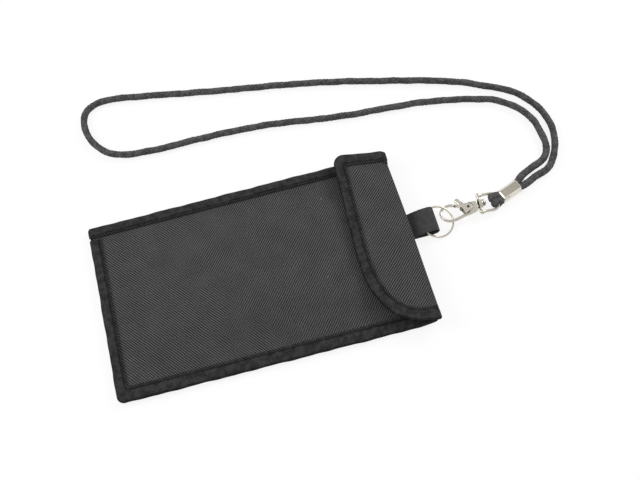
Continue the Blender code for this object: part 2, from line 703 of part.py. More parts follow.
def lever_outline():
    """One cheek of the lever, from the round about the rivet to its toe and up to its neck."""
    centre = (-RIVET_REACH, RIVET_PLACE)
    round_side = arc(*centre, LEVER_DISC_RADIUS, math.radians(-80), math.radians(85), 2 * CORNER_STEPS)
    toe_start, toe_end = math.radians(170), math.radians(280)
    toe = arc(-LEVER_TOE_REACH, LEVER_TOE_PLACE, RIVET_RADIUS, toe_start, toe_end, CORNER_STEPS)
    neck = [
        (-LEVER_NECK_REACH + LEVER_DISC_RADIUS / 2, LEVER_NECK_PLACE),
        (-LEVER_NECK_REACH, LEVER_NECK_PLACE - LEVER_CHEEK),
        (-LEVER_NECK_REACH, LEVER_NECK_PLACE - NOSE_WIRE),
    ]
    return round_side + neck + toe


def thumb_outline():
    """The lever's arm from its neck to the round thumb pad."""
    lean = math.atan2(THUMB_PLACE - LEVER_NECK_PLACE, LEVER_NECK_REACH - THUMB_REACH)
    start, end = lean - math.pi / 2, lean + math.pi / 2
    pad = arc(-THUMB_REACH, THUMB_PLACE, THUMB_RADIUS, start, end, 2 * CORNER_STEPS)
    foot_x = LEVER_CHEEK - LEVER_NECK_REACH
    foot_y = LEVER_NECK_PLACE - LEVER_CHEEK
    return pad + [(foot_x - LEVER_CHEEK, foot_y), (foot_x + LEVER_CHEEK, foot_y)]


def gate_lever(parent):
    """The sprung trigger: two cheeks over the body, a thumb pad, and a nose that closes the hook."""
    half = LEVER_HEIGHT / 2
    cheeks = prism(lever_outline(), -half, half)
    lever = node("gate_lever", cheeks, NICKEL, parent, clasp_matrix(), smooth=True)
    slot = half - LEVER_CHEEK
    round_slot = disc(-RIVET_REACH, RIVET_PLACE, LEVER_SLOT_RADIUS, -slot, slot)
    boolean(lever, "lever_round_slot", round_slot, "DIFFERENCE")
    left, right = -LEVER_NECK_REACH - 3 * CUT_OVERRUN, 0
    low, high = LEVER_TOE_PLACE - 3 * CUT_OVERRUN, RIVET_PLACE
    lower = prism([(left, low), (right, low), (right, high), (left, high)], -slot, slot)
    boolean(lever, "lever_lower_slot", lower, "DIFFERENCE")
    thumb = prism(thumb_outline(), -THUMB_HEIGHT / 2, THUMB_HEIGHT / 2)
    boolean(lever, "lever_thumb", thumb, "UNION")
    end_x = -HOOK_TIP_REACH + TOUCH_GAP + HOOK_WIRE / 8
    nose = [
        (-LEVER_NECK_REACH + LEVER_CHEEK, LEVER_NECK_PLACE - NOSE_WIRE, 0),
        (end_x - (end_x + LEVER_NECK_REACH) / 2, HOOK_TIP_PLACE - NOSE_WIRE / 2, 0),
        (end_x, HOOK_TIP_PLACE - NOSE_WIRE / 6, 0),
    ]
    radii = [NOSE_WIRE / 2] * len(nose)
    boolean(lever, "lever_nose", rod(nose, radii), "UNION")
    hole = disc(-RIVET_REACH, RIVET_PLACE, RIVET_RADIUS + TOUCH_GAP, -LEVER_HEIGHT, LEVER_HEIGHT)
    boolean(lever, "lever_rivet_hole", hole, "DIFFERENCE")


def rivet_and_spring(parent):
    half = RIVET_HEIGHT / 2
    rivet = disc(-RIVET_REACH, RIVET_PLACE, RIVET_RADIUS, -half, half)
    node("gate_rivet", rivet, NICKEL, parent, clasp_matrix(), smooth=True)
    middle = (BODY_PLATE_HEIGHT - SPRING_WIRE - TOUCH_GAP) / 2
    turns = [2 * math.pi * step / ROUND_SIDES for step in range(ROUND_SIDES)]
    coil = [
        (
            -RIVET_REACH + SPRING_RADIUS * math.cos(turn),
            RIVET_PLACE + SPRING_RADIUS * math.sin(turn),
            middle,
        )
        for turn in turns
    ]
    radii = [SPRING_WIRE / 2] * len(coil)
    node("gate_spring", rod(coil, radii, closed=True), SPRING_STEEL, parent, clasp_matrix(), smooth=True)


def swivel_stud(parent):
    """The stud from the barrel through the eye's boss, with its head set over the boss."""
    end = -EYE_BASE_LENGTH / 2 - SWIVEL_GAP - STUD_SOCKET_DEPTH + TOUCH_GAP
    under_head = EYE_BOSS_REACH + TOUCH_GAP
    turns = [math.pi / 2 * step / CORNER_STEPS for step in range(CORNER_STEPS)]
    dome = [
        (under_head + STUD_HEAD_LENGTH * math.sin(turn), STUD_HEAD_RADIUS * math.cos(turn)) for turn in turns
    ]
    shank = [(end, 0), (end, STUD_RADIUS), (under_head, STUD_RADIUS)]
    profile = [*shank, *dome, (under_head + STUD_HEAD_LENGTH, 0)]
    node("swivel_stud", lathe(profile), NICKEL, parent, clasp_matrix(), smooth=True)


def swivel_eye(parent):
    """The eye: a cast base with a boss for the stud, and a bow whose bar carries the cord."""
    base = block(EYE_BASE_LENGTH, EYE_BASE_WIDTH, EYE_BASE_HEIGHT, 0, EYE_BASE_BEVEL)
    eye = node("swivel_eye", base, NICKEL, parent, eye_matrix(), smooth=True)
    half = EYE_BASE_LENGTH / 2
    radius = EYE_BOSS_RADIUS
    boss = lathe([(-half, 0), (-half, radius), (EYE_BOSS_REACH, radius), (EYE_BOSS_REACH, 0)])
    boolean(eye, "eye_boss", boss, "UNION")
    corner = EYE_CORNER_RADIUS
    turn_x = EYE_LENGTH - corner
    turn_y = EYE_BAR_HALF_WIDTH - corner
    upper = arc(turn_x, turn_y, corner, math.pi / 2, 0, CORNER_STEPS)
    lower = arc(turn_x, -turn_y, corner, 0, -math.pi / 2, CORNER_STEPS)
    bow = [(0, EYE_HALF_WIDTH), *upper, *lower, (0, -EYE_HALF_WIDTH)]
    points = [(x, y, 0) for x, y in bow]
    boolean(eye, "eye_bow", rod(points, [EYE_WIRE / 2] * len(points)), "UNION")
    radius = STUD_RADIUS + TOUCH_GAP
    near, far = -half - CUT_OVERRUN, EYE_BOSS_REACH + CUT_OVERRUN
    hole = lathe([(near, 0), (near, radius), (far, radius), (far, 0)])
    boolean(eye, "eye_stud_hole", hole, "DIFFERENCE")


def ferrule_matrix():
    """The ferrule's own axes, from the middle of its mouth by the eye: X along it towards the neck cord."""
    place = Matrix.Translation((POUCH_LENGTH / 2 + FERRULE_DISTANCE, FERRULE_Y, FERRULE_HEIGHT))
    return place @ Matrix.Rotation(FERRULE_YAW, 4, "Z")


def rounded_section(width, height, corner):
    """An oval tube's section, as (across, up) points."""
    across, up = width / 2 - corner, height / 2 - corner
    points = []
    for side, (cx, cy) in enumerate(((across, up), (-across, up), (-across, -up), (across, -up))):
        start = side * math.pi / 2
        points += arc(cx, cy, corner, start, start + math.pi / 2, CORNER_STEPS)
    return points


def ferrule(parent):
    outside = rounded_section(FERRULE_WIDTH, FERRULE_THICKNESS, FERRULE_CORNER)
    inside = rounded_section(
        FERRULE_WIDTH - 2 * FERRULE_WALL, FERRULE_THICKNESS - 2 * FERRULE_WALL, FERRULE_CORNER - FERRULE_WALL
    )
    loops = [(0, outside), (FERRULE_LENGTH, outside), (FERRULE_LENGTH, inside), (0, inside)]
    sections = [[(x, y, z) for y, z in section] for x, section in loops]
    node("ferrule", lofted(sections, closed=True), NICKEL, parent, ferrule_matrix(), smooth=True)


def cord_fold(name, side, parent):
    """One end of the cord, out of the ferrule, round the eye's bar and back into the ferrule."""
    into = ferrule_matrix()
    across = Matrix.Rotation(EYE_YAW, 4, "Z")
    bar = eye_matrix() @ Vector((EYE_LENGTH, 0, 0))
    radius = EYE_WIRE / 2 + FOLD_BAR_GAP + FOLD_CORD_DIAMETER / 2
    middle = bar + across @ Vector((0, side * FOLD_SPACING / 2, 0))
    lift = Vector((0, 0, FOLD_TAIL_RISE))
    tail = side * FOLD_SPACING / 2
    deep = into @ Vector((FOLD_DEPTH, tail, 0))
    inner = into @ Vector((FOLD_DEPTH / 2, tail, 0))
    mouth = into @ Vector((-FOLD_TAIL_DIAMETER / 8, tail, 0))
    turn = [
        middle + across @ Vector((radius * math.cos(angle), 0, radius * math.sin(angle)))
        for angle in np.linspace(math.radians(68), math.radians(292), 2 * CORNER_STEPS)
    ]
    points = [deep + lift, inner + lift, mouth + lift, *turn, mouth - lift, inner - lift, deep - lift]
    tail_radii = [FOLD_TAIL_DIAMETER / 2] * 3
    radii = [*tail_radii, *[FOLD_CORD_DIAMETER / 2] * len(turn), *tail_radii]
    node(name, rod(points, radii), BRAID, parent, smooth=True)


def neck_cord(parent):
    """The cord's free loop, whose two ends go into the ferrule side by side."""
    into = ferrule_matrix()
    depth = FERRULE_LENGTH - CORD_END_DEPTH
    ends = [
        [into @ Vector((along, side * CORD_END_SPACING / 2, 0)) for along in (depth, FERRULE_LENGTH)]
        for side in (1, -1)
    ]
    table = [Vector((POUCH_LENGTH / 2 + x, y, CORD_DIAMETER / 2)) for x, y in CORD_ROUTE]
    fine, run = smooth_curve(ends[0] + table + ends[1][::-1])
    near = [0, CORD_END_DEPTH, CORD_END_DEPTH + CORD_END_GROWTH / 2, CORD_END_DEPTH + CORD_END_GROWTH]
    even = np.linspace(near[-1], run[-1] - near[-1], CORD_POINTS)
    stations = np.concatenate([near[:-1], even, [run[-1] - station for station in near[-2::-1]]])
    shape = bpy.data.curves.new("neck_cord", "CURVE")
    shape.dimensions = "3D"
    shape.bevel_depth = CORD_DIAMETER / 2
    shape.bevel_resolution = 2
    shape.use_fill_caps = True
    shape.materials.append(material(BRAID))
    spline = shape.splines.new("POLY")
    spline.points.add(len(stations) - 1)
    narrow = CORD_END_DIAMETER / CORD_DIAMETER
    for point, station in zip(spline.points, stations):
        point.co = (*[np.interp(station, run, fine[:, axis]) for axis in range(3)], 1)
        from_end = min(station, run[-1] - station)
        point.radius = narrow + (1 - narrow) * min(max((from_end - CORD_END_DEPTH) / CORD_END_GROWTH, 0), 1)
    hang(bpy.data.objects.new("neck_cord", shape), WORLD, parent)
    print(f"neck cord {run[-1]:.4f} m")


def build():
    """Every piece on the pivot of the body that it moves with, from the cord to the flap."""
    clear_scene()
    bar = eye_matrix() @ Vector((EYE_LENGTH, 0, 0))
    clasp = clasp_matrix()
    clasp_axis, _, clasp_up = clasp.to_3x3().transposed()
    across = (0, 1, 0)

    lanyard = pivot("lanyard_pivot", ferrule_matrix().translation, (0, 0, 1))
    ferrule(lanyard)
    cord_fold("cord_fold_1", 1, lanyard)
    cord_fold("cord_fold_2", -1, lanyard)
    neck_cord(lanyard)

    eye = pivot("eye_pivot", bar, eye_matrix().to_3x3() @ Vector(across), lanyard)
    swivel_eye(eye)

    swivel = pivot("clasp_swivel_pivot", clasp.translation, clasp_axis, eye)
    clasp_body(swivel)
    swivel_stud(swivel)
    rivet_and_spring(swivel)

    gate = pivot("gate_pivot", clasp @ Vector((-RIVET_REACH, RIVET_PLACE, 0)), clasp_up, swivel)
    gate_lever(gate)

    in_hook = ring_point(RING_HOLD_ANGLE, RING_HOLD_SHARE)
    held = pivot("ring_pivot", in_hook, -ring_tangent(RING_HOLD_ANGLE), swivel)
    ring(held)

    in_tab = ring_point(RING_TAB_ANGLE, RING_TAB_SHARE)
    pouch = pivot("pouch_pivot", in_tab, ring_tangent(RING_TAB_ANGLE), held)
    back_panel(pouch)
    front_panel(pouch)
    edge_bindings(pouch)
    mouth_binding(pouch)
    loop_patch(pouch)
    hanging_tab(pouch)
    flap_spine(pouch)
    flap(pivot("flap_pivot", (fold_x(), 0, flap_axis_height()), across, pouch))


build()
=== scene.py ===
"""The looks of a lanyard pouch: a bound twill pouch with a fold-over flap, a webbing tab, a ring, a swivel
trigger clasp and a braided neck cord, lying on a white table.

Metres, in the frame of the CAD model. Each section makes one piece, in the order in which the pouch is put
together, from the cord to the flap.
"""

import math

import bpy
import numpy as np
from mathutils import Matrix, Vector


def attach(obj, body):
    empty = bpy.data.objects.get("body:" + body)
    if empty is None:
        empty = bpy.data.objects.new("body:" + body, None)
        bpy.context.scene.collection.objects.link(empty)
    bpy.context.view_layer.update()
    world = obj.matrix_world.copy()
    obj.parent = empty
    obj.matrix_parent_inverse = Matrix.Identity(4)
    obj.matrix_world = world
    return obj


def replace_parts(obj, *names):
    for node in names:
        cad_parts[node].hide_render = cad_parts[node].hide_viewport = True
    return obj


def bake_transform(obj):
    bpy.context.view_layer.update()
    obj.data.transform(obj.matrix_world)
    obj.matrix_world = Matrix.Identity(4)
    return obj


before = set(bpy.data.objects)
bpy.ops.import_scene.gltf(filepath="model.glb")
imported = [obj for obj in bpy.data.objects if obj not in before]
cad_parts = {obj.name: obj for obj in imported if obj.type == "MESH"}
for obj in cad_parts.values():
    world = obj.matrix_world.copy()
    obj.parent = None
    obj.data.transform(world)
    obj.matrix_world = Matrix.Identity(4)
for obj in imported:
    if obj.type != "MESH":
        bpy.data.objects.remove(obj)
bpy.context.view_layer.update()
scene = bpy.context.scene


# The picture is taken from high over the near side of the pouch through a 45 mm lens, with the pouch lying on
# a white table under two soft lamps. None of this is part of the object.


class Finish:
    """A material that is worked out at each point: its Principled shader takes plain numbers and values."""

    def __init__(self, name, constants):
        self.material = bpy.data.materials.new(name)
        self.material.use_nodes = True
        self.tree = self.material.node_tree
        self.shader = self.tree.nodes["Principled BSDF"]
        for socket, constant in constants.items():
            self.shader.inputs[socket].default_value = constant

    def node(self, kind, settings=(), inputs=(), output=0):
        """Adds a node, gives it its settings, then feeds its sockets with numbers, colours or values."""
        made = self.tree.nodes.new(kind)
        for setting, choice in dict(settings).items():
            setattr(made, setting, choice)
        for socket, feed in dict(inputs).items():
            if isinstance(feed, Value):
                self.tree.links.new(feed.socket, made.inputs[socket])
            else:
                made.inputs[socket].default_value = feed
        return Value(self, made.outputs[output])

    def place(self):
        return self.node("ShaderNodeTexCoord", output="Object")

    def cloth_place(self):
        """Metres along and across the cloth, from the piece's own map."""
        return self.node("ShaderNodeUVMap", {"uv_map": "weave"})

    def mark(self, name):
        """A number that the mesh carries at each of its points."""
        return self.node("ShaderNodeAttribute", {"attribute_name": name}, output="Fac")

    def noise(self, place, scale, detail=2.0, roughness=0.5):
        sockets = {"Vector": place, "Scale": scale, "Detail": detail, "Roughness": roughness}
        return self.node("ShaderNodeTexNoise", (), sockets)

    def blend(self, share, low, high):
        """The colour low where share is 0, high where it is 1."""
        sockets = {0: share, 6: low, 7: high}
        return self.node("ShaderNodeMix", {"data_type": "RGBA"}, sockets, 2)

    def feed(self, socket, value):
        self.tree.links.new(value.socket, self.shader.inputs[socket])

    def relief(self, height, distance, strength=1.0):
        """Raises the surface by a height of 0 to 1 times a distance in metres."""
        sockets = {"Strength": strength, "Distance": distance, "Height": height}
        self.feed("Normal", self.node("ShaderNodeBump", (), sockets))


class Value:
    """One socket of a finish. Arithmetic on it adds a Math node and gives that node's result."""

    def __init__(self, finish, socket):
        self.finish = finish
        self.socket = socket

    def math(self, operation, *terms):
        return self.finish.node("ShaderNodeMath", {"operation": operation}, enumerate(terms))

    def __add__(self, other):
        return self.math("ADD", self, other)

    def __sub__(self, other):
        return self.math("SUBTRACT", self, other)

    def __rsub__(self, other):
        return self.math("SUBTRACT", other, self)

    def __mul__(self, other):
        return self.math("MULTIPLY", self, other)

    def __pow__(self, other):
        return self.math("POWER", self, other)

    __radd__ = __add__
    __rmul__ = __mul__

    def wave(self):
        """Swings from 0 to 1 and back each time the value grows by 1: half of 1 plus the sine of the turn."""
        return self.math("SINE", self * math.tau) * 0.5 + 0.5

    def over(self, low, high):
        """0 up to low, 1 from high on, and a smooth slope between."""
        settings = {"interpolation_type": "SMOOTHSTEP"}
        return self.finish.node("ShaderNodeMapRange", settings, {0: self, 1: low, 2: high})

    def parts(self):
        """The three coordinates of a place."""
        return [self.finish.node("ShaderNodeSeparateXYZ", (), {0: self}, axis) for axis in range(3)]


LENS_LENGTH, SENSOR_WIDTH = 45, 36
CAMERA_AIM = Vector((0.03806, 0.01021, 0.0030))
CAMERA_DISTANCE = 0.45873
camera_elevation, camera_azimuth, camera_roll = np.radians((68, -12.520, -2.683))
towards_camera = Vector((
    math.cos(camera_elevation) * math.sin(camera_azimuth),
    -math.cos(camera_elevation) * math.cos(camera_azimuth),
    math.sin(camera_elevation),
))
level_right = (-towards_camera).cross(Vector((0, 0, 1))).normalized()
level_up = level_right.cross(-towards_camera)
camera_right = math.cos(camera_roll) * level_right + math.sin(camera_roll) * level_up
camera_up = -math.sin(camera_roll) * level_right + math.cos(camera_roll) * level_up
camera_turn = Matrix((camera_right, camera_up, towards_camera)).transposed().to_4x4()
camera_data = bpy.data.cameras.new("camera")
camera_data.lens = LENS_LENGTH
camera_data.sensor_width = SENSOR_WIDTH
camera = bpy.data.objects.new("camera", camera_data)
camera.matrix_world = Matrix.Translation(CAMERA_AIM + CAMERA_DISTANCE * towards_camera) @ camera_turn
scene.collection.objects.link(camera)
scene.camera = camera

TABLE_HALF = 2
TABLE_TOP = -0.0002
table = Finish("white table", {"Base Color": (0.86, 0.86, 0.86, 1), "Roughness": 0.9})
seen = table.node("ShaderNodeLightPath", output="Is Camera Ray")
mirrored = table.node("ShaderNodeLightPath", output="Is Glossy Ray")
glow = table.node("ShaderNodeEmission", (), {"Color": (1, 1, 1, 1), "Strength": 1.07})
shaded = Value(table, table.shader.outputs[0])
mixed = table.node("ShaderNodeMixShader", (), {0: (seen + mirrored) * 0.8, 1: shaded, 2: glow})
table_output = table.tree.nodes["Material Output"]
table.tree.links.new(mixed.socket, table_output.inputs["Surface"])

table_mesh = bpy.data.meshes.new("table")
corner_signs = ((-1, -1), (1, -1), (1, 1), (-1, 1))
table_corners = [(x * TABLE_HALF, y * TABLE_HALF, TABLE_TOP) for x, y in corner_signs]
table_mesh.from_pydata(table_corners, [], [(0, 1, 2, 3)])
table_mesh.materials.append(table.material)
table_top = bpy.data.objects.new("table", table_mesh)
scene.collection.objects.link(table_top)


LAMP_SIZE = 0.5
LAMP_AIM = Vector((0.04, 0.02, 0))


def lamp(name, place, watts):
    """A square soft lamp that looks at the pouch. Its light on a facing sheet is its watts over pi times its
    distance squared."""
    data = bpy.data.lights.new(name, "AREA")
    data.shape = "SQUARE"
    data.size = LAMP_SIZE
    data.energy = watts
    made = bpy.data.objects.new(name, data)
    turn = (LAMP_AIM - Vector(place)).to_track_quat("-Z", "Y").to_matrix().to_4x4()
    made.matrix_world = Matrix.Translation(place) @ turn
    scene.collection.objects.link(made)


lamp("right lamp", (1.0, 0.55, 0.75), 6.0)
lamp("left lamp", (-0.9, 0.35, 0.75), 4.5)

world = bpy.data.worlds.new("studio")
world.use_nodes = True
room_light = world.node_tree.nodes["Background"].inputs
room_light["Color"].default_value = (1, 1, 1, 1)
room_light["Strength"].default_value = 0.52
scene.world = world
scene.view_settings.view_transform = "Standard"


# The neck cord is one limp 4 mm braid of coarse polyester strands, five wound each way, over a core. It lies
# on the table in a long flat loop, and both of its ends are crimped side by side in the ferrule.


def smooth_route(points, steps=14):
    """Points on a Catmull-Rom curve: each span is a cubic whose slope at a point is half the step between
    that point's two neighbours."""
    route = np.array(points, dtype=float)
    route = np.vstack([2 * route[0] - route[1], route, 2 * route[-1] - route[-2]])
    a, b, c, d = (part[:, None] for part in (route[:-3], route[1:-2], route[2:-1], route[3:]))
    t = np.linspace(0, 1, steps, endpoint=False)[None, :, None]
    square = (2 * a - 5 * b + 4 * c - d) * t**2
    cube = (3 * b - a - 3 * c + d) * t**3
    fine = b + ((c - a) * t + square + cube) / 2
    return np.vstack([fine.reshape(-1, 3), route[-2]])


def distance_along(path):
    """How far along a path each of its points is: the running sum of its steps."""
    steps = np.linalg.norm(np.diff(path, axis=0), axis=1)
    return np.concatenate([[0], np.cumsum(steps)])


def even_route(path, spacing):
    """The same path with even steps, read off by distance along it."""
    run = distance_along(path)
    stations = np.linspace(0, run[-1], int(run[-1] / spacing) + 1)
    return np.stack([np.interp(stations, run, path[:, axis]) for axis in range(3)], axis=1)


def swept(path, upright, across, rise, loop=False):
    """A profile carried along a path. The profile's across runs beside the path and its rise along upright,
    made square to the path: point = place + across times side + rise times up."""
    if loop:
        ahead = np.roll(path, -1, axis=0) - np.roll(path, 1, axis=0)
    else:
        ahead = np.gradient(path, axis=0)
    ahead /= np.linalg.norm(ahead, axis=1)[:, None]
    up = np.broadcast_to(upright, path.shape)
    up = up - ahead * np.sum(ahead * up, axis=1)[:, None]
    up /= np.linalg.norm(up, axis=1)[:, None]
    side = np.cross(up, ahead)
    return path[:, None] + across[..., None] * side[:, None] + rise[..., None] * up[:, None]


def cells(rows, columns, loop=False, wrap=False):
    """The four-sided faces of a grid, whose rows may close into a loop and whose columns may wrap round."""
    index = np.arange(rows * columns).reshape(rows, columns)
    if loop:
        index = np.vstack([index, index[:1]])
    if wrap:
        index = np.hstack([index, index[:, :1]])
    corners = (index[:-1, :-1], index[:-1, 1:], index[1:, 1:], index[1:, :-1])
    return np.stack(corners, axis=-1).reshape(-1, 4)


def cell_map(along, across):
    """The map corners of each cell of a grid, from its rows' and columns' distances in metres."""
    u, v = np.meshgrid(along, across, indexing="ij")
    place = np.stack([u, v], axis=-1)
    corners = (place[:-1, :-1], place[:-1, 1:], place[1:, 1:], place[1:, :-1])
    return np.stack(corners, axis=2).reshape(-1, 2)


def enclosed(points, faces):
    """Volume inside closed four-sided faces: the sum over their triangles of a dot (b cross c) over 6."""
    a, b, c, d = (points[faces[:, corner]] for corner in range(4))
    halves = np.sum(a * np.cross(b, c), axis=1) + np.sum(a * np.cross(c, d), axis=1)
    return halves.sum() / 6


def make_piece(name, points, faces, finish, body, weave=None, caps=(), marks=(), sharp=50):
    """Puts points and outward faces into a mesh, with its map, marks and finish, and hangs it on a body."""
    points = np.asarray(points).reshape(-1, 3)
    faces = np.asarray(faces)
    caps = [np.asarray(cap) for cap in caps]
    if enclosed(points, faces) < 0:
        faces = faces[:, ::-1]
        caps = [cap[::-1] for cap in caps]
        if weave is not None:
            weave = weave.reshape(-1, 4, 2)[:, ::-1].reshape(-1, 2)
    mesh = bpy.data.meshes.new(name)
    mesh.from_pydata(points.tolist(), [], faces.tolist() + [cap.tolist() for cap in caps])
    if weave is not None:
        filler = np.zeros((len(mesh.loops) - len(weave), 2))
        mesh.uv_layers.new(name="weave").data.foreach_set("uv", np.vstack([weave, filler]).ravel())
    for mark, values in dict(marks).items():
        layer = mesh.attributes.new(mark, "FLOAT", "POINT")
        layer.data.foreach_set("value", np.asarray(values, dtype=np.float32).ravel())
    mesh.shade_smooth()
    mesh.set_sharp_from_angle(angle=math.radians(sharp))
    mesh.materials.append(finish.material)
    made = bpy.data.objects.new(name, mesh)
    scene.collection.objects.link(made)
    if body:
        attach(made, body)
    return made


def tube_piece(name, rings, finish, body, weave=None, marks=(), sharp=50):
    """A closed tube, from a grid whose rows are its rings of points, with a flat cap on each end."""
    rows, columns = rings.shape[:2]
    ring = np.arange(columns)
    caps = (ring[::-1], (rows - 1) * columns + ring)
    wall = cells(rows, columns, wrap=True)
    return make_piece(name, rings, wall, finish, body, weave, caps, marks, sharp)


def braid(turn, run, strands, pitch):
    """A braid's surface, as its height of 0 to 1 and a number that tells its two families of strands apart.

    Strands wind both ways round the cord. Across each one the height is half an ellipse, along it the strand
    rises and dips in a sine as it goes over and under the other family, and the higher strand is seen."""
    around = strands * turn / math.tau
    along = run / pitch
    one, other = around - along, around + along
    swell = [np.sqrt(1 - 0.96 * (2 * (lay % 1) - 1) ** 2) for lay in (one, other)]
    over_one = np.sin(math.pi * other) * (1 - 2 * (np.floor(one) % 2))
    over_other = -np.sin(math.pi * one) * (1 - 2 * (np.floor(other) % 2))
    heights = [0.65 * swell[0] + 0.35 * over_one, 0.65 * swell[1] + 0.35 * over_other]
    height = np.clip(np.maximum(*heights), 0, 1)
    return height, (heights[0] > heights[1]).astype(float)


def eased(value, start=0, end=1):
    """0 up to start, 1 from end on, and between them 3 t squared minus 2 t cubed."""
    share = np.clip((value - start) / (end - start), 0, 1)
    return share * share * (3 - 2 * share)


def waves(run, *terms):
    """A sum of sines, each given as its size, its radians per metre of the run and its start."""
    return sum(size * np.sin(run * rate + start) for size, rate, start in terms)


CORD_DIAMETER = 0.0040
CORD_TURN_STEPS = 32
CORD_STEP = 0.00028
CORD_STRANDS = 5
CORD_PITCH = 0.0024
CORD_ASIDE = 0.00165
CORD_HELD = 0.0040
FERRULE_PLACE = Vector((0.1476, 0.0083, 0.0037))
FERRULE_YAW = math.radians(20.5)
FERRULE_LENGTH = 0.0132
FERRULE_START = -0.0017
FERRULE_END = FERRULE_START + FERRULE_LENGTH
ferrule_axes = Matrix.Translation(FERRULE_PLACE) @ Matrix.Rotation(FERRULE_YAW, 4, "Z")
cord_ends = [
    [ferrule_axes @ Vector((along, side * CORD_ASIDE, 0)) for along in (FERRULE_END - CORD_HELD, FERRULE_END)]
    for side in (1, -1)
]
cord_layout = (
    (0.1642, 0.0188), (0.1686, 0.0208), (0.1727, 0.0225), (0.1770, 0.0241), (0.1808, 0.0264),
    (0.1835, 0.0299), (0.1848, 0.0342), (0.1852, 0.0387), (0.1851, 0.0432), (0.1846, 0.0476),
    (0.1836, 0.0520), (0.1797, 0.0601), (0.1735, 0.0666), (0.1661, 0.0717), (0.1583, 0.0746),
    (0.1471, 0.0776), (0.1243, 0.0820), (0.1011, 0.0841), (0.0778, 0.0856), (0.0548, 0.0884),
    (0.0318, 0.0919), (0.0085, 0.0936), (-0.0147, 0.0941), (-0.0380, 0.0938), (-0.0560, 0.0948),
    (-0.0680, 0.0980), (-0.0755, 0.1045), (-0.0800, 0.1130), (-0.0818, 0.1215), (-0.0795, 0.1305),
    (-0.0735, 0.1350), (-0.0650, 0.1363), (-0.0540, 0.1350), (-0.0344, 0.1315), (-0.0116, 0.1270),
    (0.0113, 0.1229), (0.0343, 0.1191), (0.0572, 0.1148), (0.0799, 0.1098), (0.1024, 0.1039),
    (0.1249, 0.0980), (0.1471, 0.0908), (0.1576, 0.0860), (0.1681, 0.0808), (0.1763, 0.0761),
    (0.1831, 0.0702), (0.1881, 0.0628), (0.1916, 0.0545), (0.1928, 0.0456), (0.1914, 0.0367),
    (0.1880, 0.0284), (0.1857, 0.0245), (0.1828, 0.0211), (0.1791, 0.0186), (0.1749, 0.0170),
    (0.1706, 0.0156), (0.1662, 0.0136),
)
cord_table = [(x, y, CORD_DIAMETER / 2) for x, y in cord_layout]
cord_route = smooth_route([*cord_ends[0], *cord_table, *cord_ends[1][::-1]])
cord_line = even_route(cord_route, CORD_STEP)
cord_run = distance_along(cord_line)
from_end = np.minimum(cord_run, cord_run[-1] - cord_run)
cord_turn = np.linspace(0, math.tau, CORD_TURN_STEPS, endpoint=False)
cord_twist = waves(cord_run, (0.55, 131, 0), (0.35, 337, 2))
cord_pull = waves(cord_run, (0.0006, 241, 1), (0.0003, 617, 0))
cord_crest, cord_family = braid(
    cord_turn[None] + cord_twist[:, None], (cord_run + cord_pull)[:, None], CORD_STRANDS, CORD_PITCH
)
cord_growth = 0.74 + 0.32 * eased(from_end, 0.0036, 0.0052) - 0.06 * eased(from_end, 0.02, 0.05)
cord_beat = waves(cord_run, (0.03, 790, 0)) * waves(cord_run, (1, 97, 1.3))
cord_sway = 1 + cord_beat + waves(cord_run, (0.02, 523, 2))
cord_reach = CORD_DIAMETER / 2 * (cord_growth * cord_sway)[:, None] * (0.86 + 0.18 * cord_crest)
cord_wander = waves(cord_run, (0.00009, 411, 0), (0.00008, 263, 1)) * eased(from_end, 0.010, 0.022)
cord_grid = swept(
    cord_line, (0, 0, 1),
    cord_reach * np.cos(cord_turn) + cord_wander[:, None],
    cord_reach * np.sin(cord_turn),
)


def braid_finish(name):
    """Dark grey yarn with fine filaments along each strand. The crests are painted paler and the hollows
    between strands nearly black, as painted light and shade.
    """
    finish = Finish(name, {"Roughness": 0.8, "Specular IOR Level": 0.3})
    around, along, _ = finish.cloth_place().parts()
    crest = finish.mark("crest")
    family = finish.mark("family")
    one, other = (around - along) * 4.0, (around + along) * 4.0
    filaments = (one * family + other * (1 - family)).wave()
    fuzz = finish.noise(finish.place(), 1300.0, 3.0)
    tufts = finish.noise(finish.place(), 430.0, 2.0).over(0.36, 0.64)
    # The crest mark paints light on the strands' crests and shade between them.
    shade = (crest ** 2.0) * 0.30 + tufts * 0.34 + filaments * 0.10 + fuzz * 0.34 - 0.08
    finish.feed("Base Color", finish.blend(shade, (0.014, 0.014, 0.015, 1), (0.160, 0.160, 0.165, 1)))
    finish.relief(filaments * 0.6 + fuzz, 0.00008)
    return finish


cord_finish = braid_finish("dark grey braid")
cord_map = cell_map(cord_run / CORD_PITCH, np.linspace(0, CORD_STRANDS, CORD_TURN_STEPS + 1))[:, ::-1]
cord_marks = {"crest": cord_crest, "family": cord_family}
neck_cord = tube_piece("neck_braid", cord_grid, cord_finish, "lanyard", cord_map, cord_marks)
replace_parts(neck_cord, "neck_cord")


# The cord's two ends are folded side by side over the eye's bar and tucked back into the ferrule. The pull
# flattens them there, so that the two folds fill the eye from side to side.

EYE_YAW = math.radians(-4.7)
EYE_LENGTH = 0.0104
BAR_MIDDLE = Vector((0.14379, 0.00631, 0.0040))
FOLD_REACH = 0.0031
FOLD_RISE = 0.0025
FOLD_SIDES = 28
FOLD_STEP = 0.0002
FOLD_PITCH = 0.0019
FOLD_TAIL_ASIDE = 0.00162
FOLD_TAIL_LIFT = Vector((0, 0, 0.0012))
across_eye = Matrix.Rotation(EYE_YAW, 4, "Z")


